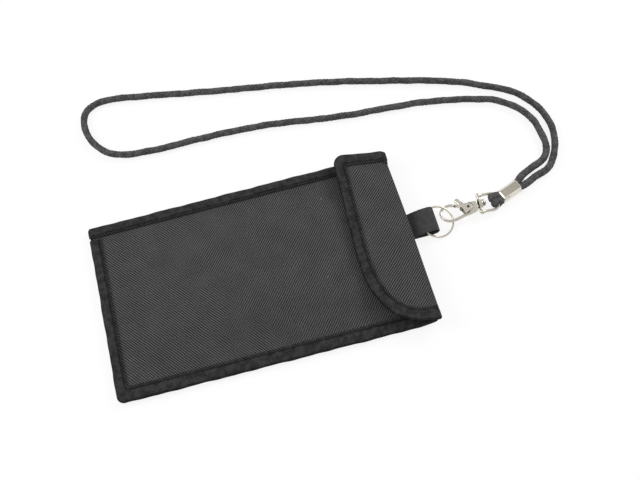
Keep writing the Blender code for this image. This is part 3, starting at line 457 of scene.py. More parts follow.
def cord_fold(name, side):
    """One fold: an oval section that is wide at the bar and narrows into the ferrule, carried round the bar
    in a half circle and straight back, over the same braid as the neck cord."""
    middle = BAR_MIDDLE + across_eye @ Vector((side * -0.00045, 0.00055 + side * 0.00180, 0))
    tail = [ferrule_axes @ Vector((along, side * FOLD_TAIL_ASIDE, 0)) for along in (0.0027, 0.0008, -0.0011)]
    bend = [
        middle + across_eye @ Vector((FOLD_REACH * math.cos(turn), 0, FOLD_RISE * math.sin(turn)))
        for turn in np.linspace(math.radians(85), math.radians(275), 11)
    ]
    into = [place + FOLD_TAIL_LIFT for place in tail]
    out = [place - FOLD_TAIL_LIFT for place in tail[::-1]]
    line = even_route(smooth_route([*into, *bend, *out], 10), FOLD_STEP)
    run = distance_along(line)
    turn = np.linspace(0, math.tau, FOLD_SIDES, endpoint=False)
    crest, family = braid(turn[None] + side * 0.5, run[:, None] + 0.0007 * side, CORD_STRANDS, FOLD_PITCH)
    spread = np.sin(math.pi * np.clip((run - 0.0028) / (run[-1] - 0.0056), 0, 1)) ** 0.6
    wide = (0.00152 + (0.00055 + side * 0.00008) * spread)[:, None] * (0.91 + 0.12 * crest)
    thick = (0.00108 + 0.00034 * spread)[:, None] * (0.91 + 0.12 * crest)
    lateral = np.array(across_eye @ Vector((0, 1, 0)))
    squarer = [np.sign(part) * np.abs(part) ** 0.75 for part in (np.sin(turn), np.cos(turn))]
    grid = swept(line, lateral, thick * squarer[0], wide * squarer[1])
    weave = cell_map(run / FOLD_PITCH, np.linspace(0, CORD_STRANDS, FOLD_SIDES + 1))[:, ::-1]
    marks = {"crest": 0.5 + 0.5 * crest, "family": family}
    return tube_piece(name, grid, cord_finish, "lanyard", weave, marks)


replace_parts(cord_fold("bar_fold_1", 1), "cord_fold_1")
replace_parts(cord_fold("bar_fold_2", -1), "cord_fold_2")


# The ferrule is a short length of nickel-plated tube, pressed flat on four cord ends. The press leaves flats
# on its top and its slopes, soft corners, a slight waist and two rims that roll outwards.


def nickel_finish(name):
    """Warm nickel plate on a cast or drawn surface: soft dents, a fine grain, duller worn patches, and
    painted shade in dark brown where the mesh's mark says so: in gaps, holes and recesses and on the
    ferrule's flats."""
    finish = Finish(name, {"Metallic": 1.0, "Specular IOR Level": 0.5})
    place = finish.place()
    broad = finish.noise(place, 240.0, 2.0)
    fine = finish.noise(place, 2600.0, 3.0, 0.6)
    worn = finish.noise(place, 620.0, 4.0, 0.65).over(0.52, 0.74)
    plate = finish.blend(worn, (0.80, 0.76, 0.67, 1), (0.66, 0.62, 0.53, 1))
    # The mark paints shade in dark brown, and also makes the surface rougher there.
    painted_shade = finish.mark("painted_shade")
    finish.feed("Base Color", finish.blend(painted_shade, plate, (0.05, 0.035, 0.005, 1)))
    finish.feed("Roughness", worn * 0.12 + fine * 0.08 + painted_shade * 0.2 + 0.30)
    finish.relief(broad * 0.8 + fine * 0.2, 0.00004, 0.6)
    return finish


nickel = nickel_finish("nickel plate")


FERRULE_WALL = 0.0005
FERRULE_SIDES = 144
FERRULE_FLATS = (
    (0, 0.00388), (40, 0.00368), (90, 0.00310), (148, 0.00351), (180, 0.00388), (232, 0.00389),
    (270, 0.00310), (308, 0.00389),
)
FERRULE_CORNER_POWER = 42
RIM_FLARE, RIM_FLARE_RUN = 0.00022, 0.0006
FERRULE_WAIST = 0.00006


def pressed_line(flats, power, steps):
    """A closed line of flats with soft corners, as across and up. Each flat is the angle that it faces and
    its distance from the middle. The reach is 1 over the power sum of how far a direction leans to each."""
    turn = np.linspace(0, math.tau, steps, endpoint=False)
    leans = [np.clip(np.cos(turn - math.radians(facing)), 0, None) / distance for facing, distance in flats]
    reach = np.sum(np.stack(leans) ** power, axis=0) ** (-1 / power)
    return reach * np.cos(turn), reach * np.sin(turn)


def ferrule_wall():
    """The tube's wall as a closed loop of (along, how far in from the outside): out along the outside, round
    one rim, back along the inside and round the other."""
    half = FERRULE_WALL / 2
    out = np.linspace(half, FERRULE_LENGTH - half, 34)
    rim = np.linspace(0, math.pi, 7)[1:-1]
    far_rim = FERRULE_LENGTH - half + half * np.sin(rim)
    near_rim = half - half * np.sin(rim)
    depth = half * (1 - np.cos(rim))
    along = np.concatenate([out, far_rim, out[::-1], near_rim])
    inward = np.concatenate([out * 0, depth, out * 0 + FERRULE_WALL, depth[::-1]])
    return along, inward


ferrule_along, ferrule_inward = ferrule_wall()
from_rim = np.minimum(ferrule_along, FERRULE_LENGTH - ferrule_along)
pressed_across, pressed_up = pressed_line(FERRULE_FLATS, FERRULE_CORNER_POWER, FERRULE_SIDES)
rim_flare = RIM_FLARE * np.exp(-((from_rim / RIM_FLARE_RUN) ** 2))
waist = FERRULE_WAIST * np.sin(math.pi * np.clip(ferrule_along / FERRULE_LENGTH, 0, 1))
shrink = 1 - (ferrule_inward + waist - rim_flare)[:, None] / np.hypot(pressed_across, pressed_up)[None]
ferrule_grid = np.stack([
    np.broadcast_to(ferrule_along[:, None] + FERRULE_START, shrink.shape),
    pressed_across[None] * shrink,
    pressed_up[None] * shrink,
], axis=-1)
ferrule_turn = np.array(ferrule_axes.to_3x3())
ferrule_grid = ferrule_grid @ ferrule_turn.T + np.array(ferrule_axes.translation)
ferrule_cells = cells(len(ferrule_along), FERRULE_SIDES, loop=True, wrap=True)
# The pressed flats on the top and the bottom, away from the rims, get painted shade: darker and browner.
on_flat = eased(np.abs(pressed_up), 0.00296, 0.00306)
off_rim = eased(from_rim, 0.0006, 0.0011)
ferrule_painted_shade = {"painted_shade": 0.54 * off_rim[:, None] * on_flat[None]}
ferrule = make_piece(
    "crimped_ferrule", ferrule_grid, ferrule_cells, nickel, "lanyard",
    marks=ferrule_painted_shade, sharp=24,
)
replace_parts(ferrule, "ferrule")


# The swivel eye is one zinc casting, nickel plated: a bar with a thick round lump at each end, a boss that
# the clasp's stud turns in, and a bow for the cord.

CLASP_PITCH = math.radians(-2.3)
SWIVEL_PLACE = Vector((0.13343, 0.00716, 0.00358))
CASTING_STEP = 0.00013
STUD_HOLE = 0.0014


def swivel_axes(yaw, roll):
    """Axes from the middle of the eye's base, with X along the clasp towards the cord."""
    tilt = Matrix.Rotation(CLASP_PITCH, 4, "Y") @ Matrix.Rotation(roll, 4, "X")
    return Matrix.Translation(SWIVEL_PLACE) @ Matrix.Rotation(yaw, 4, "Z") @ tilt


eye_axes = swivel_axes(EYE_YAW, 0)
clasp_axes = swivel_axes(math.radians(2.8), math.radians(-12))


def joined(first, second, fillet):
    """The nearer of two distances, eased where they are alike, as a casting's fillet fills a corner."""
    share = np.clip(0.5 + 0.5 * (second - first) / fillet, 0, 1)
    return second + (first - second) * share - fillet * share * (1 - share)


def cut_away(solid, hollow, edge):
    """A solid with a hollow taken out, and a rounded edge between: the joining formula with signs turned."""
    return -joined(-solid, hollow, edge)


def within(edge, *distances):
    """Distance to the part inside all of several surfaces, with its outer edges rounded by a radius."""
    past = np.stack(distances) + edge
    return np.minimum(past.max(axis=0), 0) + np.linalg.norm(np.clip(past, 0, None), axis=0) - edge


def bar_distance(place, route, radii):
    """Distance to a round bar along a route: to the nearest of its straight runs, less a radius that changes
    evenly along each."""
    nearest = np.full(place.shape[:-1], 1.0)
    for start, end, near, far in zip(route[:-1], route[1:], radii[:-1], radii[1:]):
        along = end - start
        share = np.clip((place - start) @ along / (along @ along), 0, 1)
        gap = np.linalg.norm(place - start - share[..., None] * along, axis=-1)
        nearest = np.minimum(nearest, gap - near - share * (far - near))
    return nearest


def corner_arc(centre_x, centre_y, radius, start, end, steps):
    """Flat points on part of a circle."""
    turn = np.linspace(start, end, steps)
    return np.stack([centre_x + radius * np.cos(turn), centre_y + radius * np.sin(turn)], axis=1)


def outline_distance(x, y, corners):
    """Distance to a flat outline, less than 0 inside: to the nearest of its edges, with the sign turned each
    time that a level line from the point crosses an edge."""
    corners = np.asarray(corners)
    nearest = np.full(x.shape, 1.0)
    sign = np.ones(x.shape)
    for (ax, ay), (bx, by) in zip(corners, np.roll(corners, 1, axis=0)):
        edge_x, edge_y = bx - ax, by - ay
        off_x, off_y = x - ax, y - ay
        share = np.clip((off_x * edge_x + off_y * edge_y) / (edge_x**2 + edge_y**2), 0, 1)
        nearest = np.minimum(nearest, np.hypot(off_x - share * edge_x, off_y - share * edge_y))
        above, below = y >= ay, y < by
        left = edge_x * off_y > edge_y * off_x
        crossed = (above & below & left) | ~(above | below | left)
        sign = np.where(crossed, -sign, sign)
    return sign * nearest


def cast(name, distance, painted_shade, low, high, step, axes, body, stands_for):
    """A casting's skin, from a function that gives each point's distance to it, less than 0 inside.

    The function is worked out on a grid. Each small cube with corners on both sides of the skin gets a point
    at the mean of the places where its edges cross it, each crossed edge joins its four cubes by a face, and
    two steps of the distance along its slope bring every point onto the skin. A second function of the points
    gives how much painted shade each gets, from 0 to 1."""
    counts = [int((end - start) / step) + 2 for start, end in zip(low, high)]
    axis_places = [start + step * np.arange(count) for start, count in zip(low, counts)]
    corners = np.stack(np.meshgrid(*axis_places, indexing="ij"), axis=-1)
    value = distance(corners)
    cubes = tuple(count - 1 for count in counts)
    total = np.zeros((*cubes, 3))
    crossings = np.zeros(cubes)
    crossed_edges = []
    for axis in range(3):
        near = [slice(None)] * 3
        far = [slice(None)] * 3
        near[axis], far[axis] = slice(None, -1), slice(1, None)
        a, b = value[tuple(near)], value[tuple(far)]
        crossed = (a < 0) != (b < 0)
        share = np.where(crossed, a / np.where(crossed, a - b, 1), 0)
        point = corners[tuple(near)].copy()
        point[..., axis] += share * step
        point *= crossed[..., None]
        beside = [other for other in range(3) if other != axis]
        for first in (0, 1):
            for second in (0, 1):
                part = [slice(None)] * 3
                part[beside[0]] = slice(first, first + cubes[beside[0]])
                part[beside[1]] = slice(second, second + cubes[beside[1]])
                total += point[tuple(part)]
                crossings += crossed[tuple(part)]
        crossed_edges.append((axis, beside, crossed, a < 0))
    used = crossings > 0
    number = np.full(cubes, -1)
    number[used] = np.arange(used.sum())
    points = total[used] / crossings[used][:, None]
    faces = []
    for axis, (one, two), crossed, outward in crossed_edges:
        spot = np.argwhere(crossed)
        direction = outward[crossed]
        around = []
        for first, second in ((1, 1), (0, 1), (0, 0), (1, 0)):
            cube = spot.copy()
            cube[:, one] -= first
            cube[:, two] -= second
            around.append(number[tuple(cube.T)])
        quad = np.stack(around, axis=1)
        if axis == 1:
            direction = ~direction
        faces.append(np.where(direction[:, None], quad, quad[:, ::-1]))
    nudges = 0.2 * step * np.eye(3)
    for _ in range(2):
        here = distance(points)
        rises = [distance(points + nudge) - distance(points - nudge) for nudge in nudges]
        slope = np.stack(rises, axis=1) / (0.4 * step)
        length = np.sum(slope**2, axis=1).clip(0.25)
        points -= (np.clip(here, -step, step) / length)[:, None] * slope
    turn = np.array(axes.to_3x3())
    placed = points @ turn.T + np.array(axes.translation)
    marks = {"painted_shade": painted_shade(points[:, 0], points[:, 1], points[:, 2])}
    made = make_piece(name, placed, np.vstack(faces), nickel, body, marks=marks, sharp=180)
    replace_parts(made, stands_for)


EYE_BOW_HALF = 0.0053
EYE_CORNER = 0.0034


def eye_distance(place):
    """The bar with its lumps, then the boss, then the bow, less the stud's hole."""
    x, y, z = (place[..., axis] for axis in range(3))
    bar = within(0.0008, np.abs(x) - 0.0010, np.abs(y) - 0.0056, np.abs(z) - 0.0011)
    lumps = np.linalg.norm(np.stack([x - 0.0001, np.abs(y) - 0.0053, z * 1.12]), axis=0) - 0.00148
    boss = within(0.0006, np.hypot(y, z) - 0.0024, -0.0010 - x, x - 0.0018)
    corner = corner_arc(EYE_LENGTH - EYE_CORNER, EYE_BOW_HALF - EYE_CORNER, EYE_CORNER, math.pi / 2, 0, 9)
    upper = np.column_stack([corner, np.zeros(len(corner))])
    lower = upper[::-1] * np.array((1, -1, 1))
    route = np.vstack([[(0, 0.0052, 0)], upper, lower, [(0, -0.0052, 0)]])
    bow = bar_distance(place, route, np.full(len(route), 0.00086))
    solid = joined(joined(joined(bar, lumps, 0.0008), boss, 0.0007), bow, 0.0009)
    return cut_away(solid, np.hypot(y, z) - STUD_HOLE, 0.0003)


def eye_painted_shade(x, y, z):
    """Painted shade on the face of the boss towards the clasp, and in the hole."""
    face = 1 - eased(x, -0.0009, -0.0006)
    return np.maximum(face * (np.abs(y) < 0.0028), np.hypot(y, z) < 0.00155)


cast(
    "cast_eye", eye_distance, eye_painted_shade, (-0.0018, -0.0073, -0.0028), (0.0118, 0.0073, 0.0028),
    CASTING_STEP, eye_axes, "eye", "swivel_eye",
)


# The stud is a turned steel pin, pressed into the clasp's barrel. It turns in the eye's boss, and its round
# head holds them together.


def turned(name, along, radius, painted_shade, sides, axes, axis_turn, body, stands_for):
    """A lathe-turned piece: a closed side view of (along, radius) carried round the axis of its length, with
    how much painted shade each point of the side view gets."""
    turn = np.linspace(0, math.tau, sides, endpoint=False)
    reach = np.asarray(radius)[:, None]
    run = np.asarray(along)[:, None] + 0 * turn
    grid = np.stack([run, reach * np.cos(turn), reach * np.sin(turn)], axis=-1)
    placed = grid @ np.array(axes.to_3x3() @ axis_turn).T + np.array(axes.translation)
    marks = {"painted_shade": np.repeat(painted_shade, sides)}
    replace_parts(tube_piece(name, placed, nickel, body, None, marks, 40), stands_for)


dome = np.linspace(0, math.pi / 2 * 0.96, 10)
stud_along = [-0.0033, -0.0033, 0.0019, 0.0020, 0.0021, *(0.0022 + 0.0013 * np.sin(dome))]
stud_radius = [0.0007, 0.0011, 0.0011, 0.0014, 0.0020, *(0.0022 * np.cos(dome))]
# Painted shade on the shaft, which is hidden in the boss, fading out under the head.
stud_painted_shade = [1.0, 1.0, 1.0, 0.6, 0.2, *(dome * 0)]
turned(
    "turned_stud", stud_along, stud_radius, stud_painted_shade, 40, clasp_axes, Matrix.Identity(3), "clasp",
    "swivel_stud",
)


# The clasp's body is a second zinc casting: a barrel for the stud, a flat plate that the lever straddles, and
# the hook, which is thick at its root and thins round its bend to the tip.

RIVET_X, RIVET_Y = -0.0074, -0.0003
PLATE_HALF = 0.00115
BLOCK_HALF = 0.00208


def hook_route():
    """The hook's middle line: its lower strand, half an oval for its bend, and its tip."""
    turns = np.linspace(-math.pi / 2, -1.5 * math.pi, 28)
    bend = np.stack([-0.0182 + 0.0057 * np.cos(turns), -0.0001 + 0.0053 * np.sin(turns)], axis=1)
    strand = [
        (-0.0040, -0.0034), (-0.0074, -0.0040), (-0.0108, -0.00435), (-0.0136, -0.00485), (-0.0159, -0.0052),
    ]
    tip = [(-0.0167, 0.00516), (-0.0152, 0.0044)]
    flat = np.vstack([strand, bend, tip])
    return np.column_stack([flat, np.zeros(len(flat))])


hook_line = hook_route()
hook_radii = np.interp(
    distance_along(hook_line), (0, 0.012, 0.022, 0.031, 0.036), (0.00106, 0.00096, 0.00074, 0.00090, 0.00096)
)


def body_distance(place):
    """Barrel, plate and hook with cast fillets between them, less the stud's socket."""
    x, y, z = (place[..., axis] for axis in range(3))
    corners = [
        (-0.0074, -0.0036), (-0.0026, -0.0031), (-0.0018, -0.0025), (-0.0018, 0.0013), (-0.0024, 0.0019),
        (-0.0066, 0.0025),
    ]
    outline = outline_distance(x, y, corners)
    web = within(0.0002, outline, np.abs(z) - PLATE_HALF)
    block = within(0.0004, outline, np.abs(z) - BLOCK_HALF)
    from_rivet = np.hypot(x - RIVET_X, y - RIVET_Y)
    block = cut_away(block, from_rivet - 0.0028, 0.0001)
    disc = within(0.0002, from_rivet - 0.0030, np.abs(z) - PLATE_HALF)
    hook = bar_distance(place, hook_line, hook_radii)
    solid = joined(np.minimum(np.minimum(web, disc), block), hook, 0.0005)
    socket = np.maximum(np.hypot(y, z) - STUD_HOLE, -0.0036 - x)
    return cut_away(solid, socket, 0.0002)


def body_painted_shade(x, y, z):
    """Painted shade on the block's end towards the eye, and on the walls and floor of the lever's pocket."""
    from_rivet = np.hypot(x - RIVET_X, y - RIVET_Y)
    end = eased(x, -0.0021, -0.00185)
    pocket = (from_rivet < 0.00295) & (np.abs(z) < 0.0019)
    return np.maximum(end, pocket)


cast(
    "cast_clasp", body_distance, body_painted_shade, (-0.0254, -0.0070, -0.0026), (-0.0010, 0.0070, 0.0026),
    CASTING_STEP, clasp_axes, "clasp", "clasp_body",
)


# The rivet is a short tube, spread at both ends, on which the lever turns. A torsion spring sits round it in
# a recess of the body.

# The rivet's half side view as rows of along, radius and painted shade, which is full in its hole.
rivet_half = np.array((
    (0.00110, 0.00190, 0.00205, 0.00216, 0.00214, 0.00180, 0.00150),
    (0.00056, 0.00058, 0.00062, 0.00076, 0.00094, 0.00094, 0.00078),
    (1.0, 1.0, 0.7, 0.1, 0.0, 0.0, 0.0),
))
mirrored_half = rivet_half[:, ::-1]
rivet_side, rivet_reach, rivet_painted_shade = np.hstack([rivet_half * [[-1], [1], [1]], mirrored_half])
rivet_axes = clasp_axes @ Matrix.Translation((RIVET_X, RIVET_Y, 0))
upright = Matrix.Rotation(math.radians(-90), 3, "Y")
turned("tube_rivet", rivet_side, rivet_reach, rivet_painted_shade, 36, rivet_axes, upright, "clasp", "gate_rivet")

spring_finish = Finish("spring steel", {"Metallic": 1.0})
spring_grain = spring_finish.noise(spring_finish.place(), 3000.0)
spring_finish.feed("Base Color", spring_finish.blend(spring_grain, (0.32, 0.32, 0.32, 1), (0.5, 0.5, 0.5, 1)))
spring_finish.feed("Roughness", spring_grain * 0.2 + 0.25)
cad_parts["gate_spring"].material_slots[0].material = spring_finish.material


# The lever is the third casting: two cheeks over the body's plate, a thumb pad, and a nose that the spring
# holds against the hook's tip.

LEVER_STEP = 0.00012
CHEEK_RADIUS = 0.0026
TOE_RADIUS = 0.00075


def lever_distance(place):
    """Cheeks, thumb pad and nose, less the slot for the body and the rivet's hole."""
    x, y, z = (place[..., axis] for axis in range(3))
    cheek = corner_arc(RIVET_X, RIVET_Y, CHEEK_RADIUS, math.radians(-80), math.radians(85), 13)
    toe = corner_arc(-0.0102, -0.0036, TOE_RADIUS, math.radians(170), math.radians(280), 7)
    neck = [(-0.0094, 0.0028), (-0.0118, 0.0030), (-0.0119, 0.0013), (-0.0109, -0.0004), (-0.0106, -0.0021)]
    plate = within(0.0004, outline_distance(x, y, [*cheek, *neck, *toe]), np.abs(z) - 0.0021)
    slot_round = np.hypot(x - RIVET_X, y - RIVET_Y) - 0.0034
    slot_low = np.maximum(y - RIVET_Y, -0.0146 - x)
    slot = np.maximum(np.minimum(slot_round, slot_low), np.abs(z) - 0.0013)
    arm_route = np.array([(-0.0100, 0.0022, 0), (-0.0109, 0.0046, 0), (-0.0117, 0.0065, 0)])
    flat = place * np.array((1, 1, 0))
    arm = within(0.0007, bar_distance(flat, arm_route, (0.0015, 0.00135, 0.00145)), np.abs(z) - 0.0012)
    nose_route = np.array([(-0.0106, 0.0016, 0), (-0.0126, 0.0030, 0), (-0.0140, 0.0038, 0)])
    nose = bar_distance(place, nose_route, (0.0009, 0.0009, 0.0009))
    end = (x + 0.01462) * -0.94 + (y - 0.0041) * 0.34
    nose = within(0.0002, nose, end)
    solid = joined(joined(cut_away(plate, slot, 0.0001), arm, 0.0006), nose, 0.0005)
    return cut_away(solid, np.hypot(x - RIVET_X, y - RIVET_Y) - 0.00102, 0.0001)


def lever_painted_shade(x, y, z):
    """Painted shade on the cheeks' side walls, on their edge at the thumb's side, and on the nose's end."""
    from_rivet = np.hypot(x - RIVET_X, y - RIVET_Y)
    side_wall = (from_rivet > 0.00245) & (np.abs(z) < 0.0019) & (x > -0.0098)
    crescent = 0.8 * eased(-x, 0.0101, 0.0106) * (np.abs(z) < 0.0020) * (y < 0.0012)
    nose_end = 0.8 * eased(-x, 0.0136, 0.0142) * (y < 0.0055)
    return np.maximum(np.maximum(side_wall, crescent), nose_end)


cast(
    "cast_lever", lever_distance, lever_painted_shade, (-0.0152, -0.0050, -0.0025), (-0.0043, 0.0088, 0.0025),
    LEVER_STEP, clasp_axes, "gate", "gate_lever",
)


# The ring is one steel wire, bent round, welded and plated. It hangs in the hook and carries the tab. The
# weld is a slight swelling of the wire.

RING_MIDDLE = np.array((0.1067, 0.0031, 0.00285))
RING_RADIUS = 0.0090
WIRE_RADIUS = 0.00065
WELD_SWELL, WELD_TURN, WELD_WIDTH = 0.00007, 2.9, 0.05
RING_STEPS, WIRE_SIDES = 200, 18
ring_normal = Vector((0.08, -0.20, 1)).normalized()
ring_side = Vector((0, 1, 0)).cross(ring_normal).normalized()
ring_turn = Matrix((ring_side, ring_normal.cross(ring_side), ring_normal)).transposed()
ring_angles = np.linspace(0, math.tau, RING_STEPS, endpoint=False)
ring_circle = np.stack([np.cos(ring_angles), np.sin(ring_angles), 0 * ring_angles], axis=1)
ring_path = RING_RADIUS * ring_circle @ np.array(ring_turn).T + RING_MIDDLE
wire_turn = np.linspace(0, math.tau, WIRE_SIDES, endpoint=False)
weld = np.exp(-((((ring_angles - WELD_TURN) % math.tau) / WELD_WIDTH) ** 2))[:, None]
wire_reach = WIRE_RADIUS + WELD_SWELL * weld
wire_across, wire_up = wire_reach * np.cos(wire_turn), wire_reach * np.sin(wire_turn)
ring_grid = swept(ring_path, np.array(ring_normal), wire_across, wire_up, loop=True)
ring_cells = cells(RING_STEPS, WIRE_SIDES, loop=True, wrap=True)
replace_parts(make_piece("wire_ring", ring_grid, ring_cells, nickel, "link"), "ring")


# The hanging tab is a strip of fine black webbing, sewn under the back panel. It runs out under the fold,
# turns round the ring and comes back over itself.

HALF_LENGTH = 0.090
PANEL_END = 0.0886
TAB_WIDTH = 0.0148
TAB_MIDDLE = 0.0046
TAB_HALF = 0.0005
TAB_SEWN_END = 0.080
TAB_REACH = 0.0159
TAB_LOOP_RADIUS = 0.0030
TAB_STEP = 0.00025
TAB_SIDES = 96
TOUCH_GAP = 0.0003


def tab_line():
    """The webbing's side view, from its sewn end out, round the ring's loop and back over itself."""
    turn_x = HALF_LENGTH + TAB_REACH - TAB_HALF - TAB_LOOP_RADIUS
    turn_z = TAB_LOOP_RADIUS + TAB_HALF + TOUCH_GAP / 2
    upper = 3 * TAB_HALF + TOUCH_GAP
    rise = turn_z + TAB_LOOP_RADIUS - upper
    run = turn_x - PANEL_END
    low_shares = ((0.75, 0), (0.47, 0.1), (0.22, 0.45))
    under = [(turn_x - run * along, TAB_HALF + TOUCH_GAP * up) for along, up in low_shares]
    loop = corner_arc(turn_x, turn_z, TAB_LOOP_RADIUS, -math.pi / 2, math.pi / 2, 9)
    shares = ((0.22, 0.94), (0.326, 0.88), (0.42, 0.79), (0.645, 0.54), (0.82, 0.30), (1, 0.11))
    over = [(turn_x - run * along, upper + rise * up) for along, up in shares]
    sewn = [(TAB_SEWN_END, TAB_HALF), (0.085, TAB_HALF)]
    middle = [*sewn, *under, *loop, *over, (0.085, upper), (TAB_SEWN_END, upper)]
    return even_route(smooth_route([(x, TAB_MIDDLE, z) for x, z in middle], 10), TAB_STEP)


def rounded_box_line(width, height, power, steps):
    """A closed oval as across and up: a superellipse, whose two coordinates' powers add up to 1."""
    turn = np.linspace(0, math.tau, steps, endpoint=False)
    bulge = (np.abs(np.cos(turn)) ** power + np.abs(np.sin(turn)) ** power) ** (-1 / power)
    return width / 2 * bulge * np.cos(turn), height / 2 * bulge * np.sin(turn)


tab_path = tab_line()
tab_run = distance_along(tab_path)
tab_across, tab_rise = rounded_box_line(TAB_WIDTH, 2 * TAB_HALF, 10, TAB_SIDES)
tab_wide = tab_across[None] * (1 + 0.006 * np.sin(tab_run * 2600))[:, None]
tab_thick = np.broadcast_to(tab_rise[None], tab_wide.shape)
tab_grid = swept(tab_path, (0, 1, 0), tab_thick, tab_wide)
tab_outline = np.column_stack([tab_across, tab_rise])
tab_girth = distance_along(np.vstack([tab_outline, tab_outline[:1]]))

webbing = Finish("black webbing", {"Roughness": 0.72, "Specular IOR Level": 0.35})
tab_along, tab_side, _ = webbing.cloth_place().parts()
tab_warp = (tab_side * 3100.0 + (tab_along * 1100.0).wave() * 0.4).wave()
tab_weft = (tab_along * 2300.0).wave()
tab_fuzz = webbing.noise(webbing.place(), 1900.0, 2.0)
tab_fade = webbing.noise(webbing.place(), 420.0, 3.0)
tab_shade = tab_warp * 0.26 + tab_weft * 0.20 + tab_fuzz * 0.35 + tab_fade * 0.70 - 0.28
webbing.feed("Base Color", webbing.blend(tab_shade, (0.018, 0.018, 0.019, 1), (0.084, 0.084, 0.086, 1)))
webbing.relief(tab_warp * 0.6 + tab_weft * 0.4, 0.00005)
tab_map = cell_map(tab_run, tab_girth)
hanging_tab = tube_piece("webbing_tab", tab_grid, webbing, "pouch", tab_map)
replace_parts(hanging_tab, "hanging_tab")


# The back panel is one piece of charcoal polyester twill. It is flat on the table, rises into the bound seams
# and over the tab's sewn end, and turns up at the fold.

CLOTH = 0.0008
MARGIN = 0.0081
PANEL_INSET = 0.0020
SEAM_RUN = 0.003
BACK_MARGIN_HEIGHT = 0.0009
FOLD_LIFT = 0.0030
FOLD_LIFT_RUN = 0.005
TAB_ROOM = 0.0065
CLOSED_END_WIDTH = 0.1048
WIDTH_GROWTH = 0.0034
FOLD_HALF = 0.0528
FOLD_SKEW = 0.0021


def half_width(x):
    """Half of the pouch's width at x: it grows evenly from the closed end to the fold."""
    return (CLOSED_END_WIDTH + WIDTH_GROWTH * (x / HALF_LENGTH + 1) / 2) / 2


def back_height(x, y):
    """The back's underside: up in the bound seams, over the tab's sewn end and along the fold."""
    from_side = half_width(x) - np.abs(y)
    inner = eased(from_side, MARGIN, MARGIN + SEAM_RUN)
    seam = BACK_MARGIN_HEIGHT * (1 - inner * eased(x + HALF_LENGTH, MARGIN, MARGIN + SEAM_RUN))
    fold = eased(x, PANEL_END - FOLD_LIFT_RUN, PANEL_END)
    along = eased((x - TAB_SEWN_END + TAB_ROOM) / FOLD_LIFT_RUN)
    beside = eased((TAB_WIDTH / 2 + TAB_ROOM - np.abs(y - TAB_MIDDLE)) / FOLD_LIFT_RUN)
    return seam + (FOLD_LIFT - seam) * inner * np.maximum(fold, along * beside)


def twill_finish(name, turnover, pitch, lean, rib_weight, fuzz_weight):
    """Charcoal twill: ribs that rise along the cloth show over most of it, and change slowly into the
    falling ones that cross them where a slow noise drops below turnover. Each rib is a chain of beads of fine
    threads, paler than the ground between, with slow changes of dye and a few specks of lint."""
    finish = Finish(name, {"Roughness": 0.88, "Specular IOR Level": 0.25})
    place = finish.cloth_place()
    along, across, _ = place.parts()
    drift = finish.noise(place, 130.0, 2.0) * 0.8
    slope = math.sin(math.radians(lean)) / pitch
    level = math.cos(math.radians(lean)) / pitch
    rising = (along * -slope + across * level + drift).wave()
    falling = (along * slope + across * level + drift).wave()
    slow = along * 5.0 + across * 1.5 + finish.noise(place, 32.0, 1.0)
    share = slow.over(turnover - 0.18, turnover + 0.18)
    beads = finish.noise(place, 850.0, 1.0)
    rib = rising * share + falling * (1 - share)
    rib = (rib - 0.5) * (beads * 2.2 - 0.1) + 0.5
    fine = (along * 3300.0 + rib * 0.3).wave() * (across * 3300.0).wave()
    patches = finish.noise(place, 75.0, 3.0)
    fuzz = finish.noise(place, 1500.0, 2.0)
    shade = rib * rib_weight + fine * 0.12 + fuzz * fuzz_weight + patches * 0.24
    shade = shade - (rib_weight * 0.5 + 0.03 + fuzz_weight * 0.5 + 0.12 - 0.375)
    cloth = finish.blend(shade, (0.006, 0.006, 0.006, 1), (0.166, 0.166, 0.168, 1))
    lint = finish.noise(place, 540.0, 0.0).over(0.885, 0.90)
    finish.feed("Base Color", finish.blend(lint, cloth, (0.30, 0.30, 0.30, 1)))
    finish.relief(rib * 0.6 + fine * 0.3 + fuzz * 0.2, 0.00012)
    return finish


panel_twill = twill_finish("charcoal twill", 0.40, 0.00118, 50, 0.72, 0.60)


def cloth_piece(name, under, over, weave, finish, body):
    """A closed cloth from a grid of points on its underside and one on its top: both grids, and a strip of
    faces round their shared edge."""
    rows, columns = under.shape[:2]
    count = rows * columns
    index = np.arange(count).reshape(rows, columns)
    rim = np.concatenate([index[0], index[1:, -1], index[-1, -2::-1], index[-2:0:-1, 0]])
    after = np.roll(rim, -1)
    top = cells(rows, columns)
    faces = np.vstack([
        top + count, top[:, ::-1], np.stack([after + count, rim + count, rim, after], axis=1)
    ])
    flat = weave.reshape(-1, 2)
    corners = flat[faces.ravel() % count]
    points = np.concatenate([under.reshape(-1, 3), over.reshape(-1, 3)])
    return make_piece(name, points, faces, finish, body, corners)


def fold_skew(y):
    """How far the fold draws in at y: nothing on the near half, and 2.1 mm at the far side."""
    return FOLD_SKEW * np.clip(y / FOLD_HALF, 0, 1) ** 1.4


def level_cloth(name, xs, height, columns):
    """A panel between the two sides of the pouch, whose underside is at a height of x and y."""
    x = xs[:, None] + np.zeros(columns)
    y = np.linspace(-1, 1, columns)[None] * (half_width(x) - PANEL_INSET)
    low = height(x, y)
    x = x - fold_skew(y) * eased(x, 0.0800, 0.0885)
    under = np.stack([x, y, low], axis=-1)
    over = np.stack([x, y, low + CLOTH], axis=-1)
    return cloth_piece(name, under, over, np.stack([x, y], axis=-1), panel_twill, "pouch")


back_rows = np.concatenate([
    np.linspace(PANEL_INSET - HALF_LENGTH, 0.070, 100), np.linspace(0.0708, PANEL_END, 34),
])
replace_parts(level_cloth("back_cloth", back_rows, back_height, 120), "back_panel")


# The front panel is cut from the same twill. It stands open over the pocket in one soft crown, with small
# puckers along the bound seams and slow waves where the cloth has been handled.

FRONT_MARGIN_HEIGHT = 0.0020
CROWN_HEIGHT = 0.0042
CROWN_RUN = 0.026
PUCKER_HEIGHT = 0.00013
HANDLED_HEIGHT = 0.00016
MOUTH_X = 0.0796


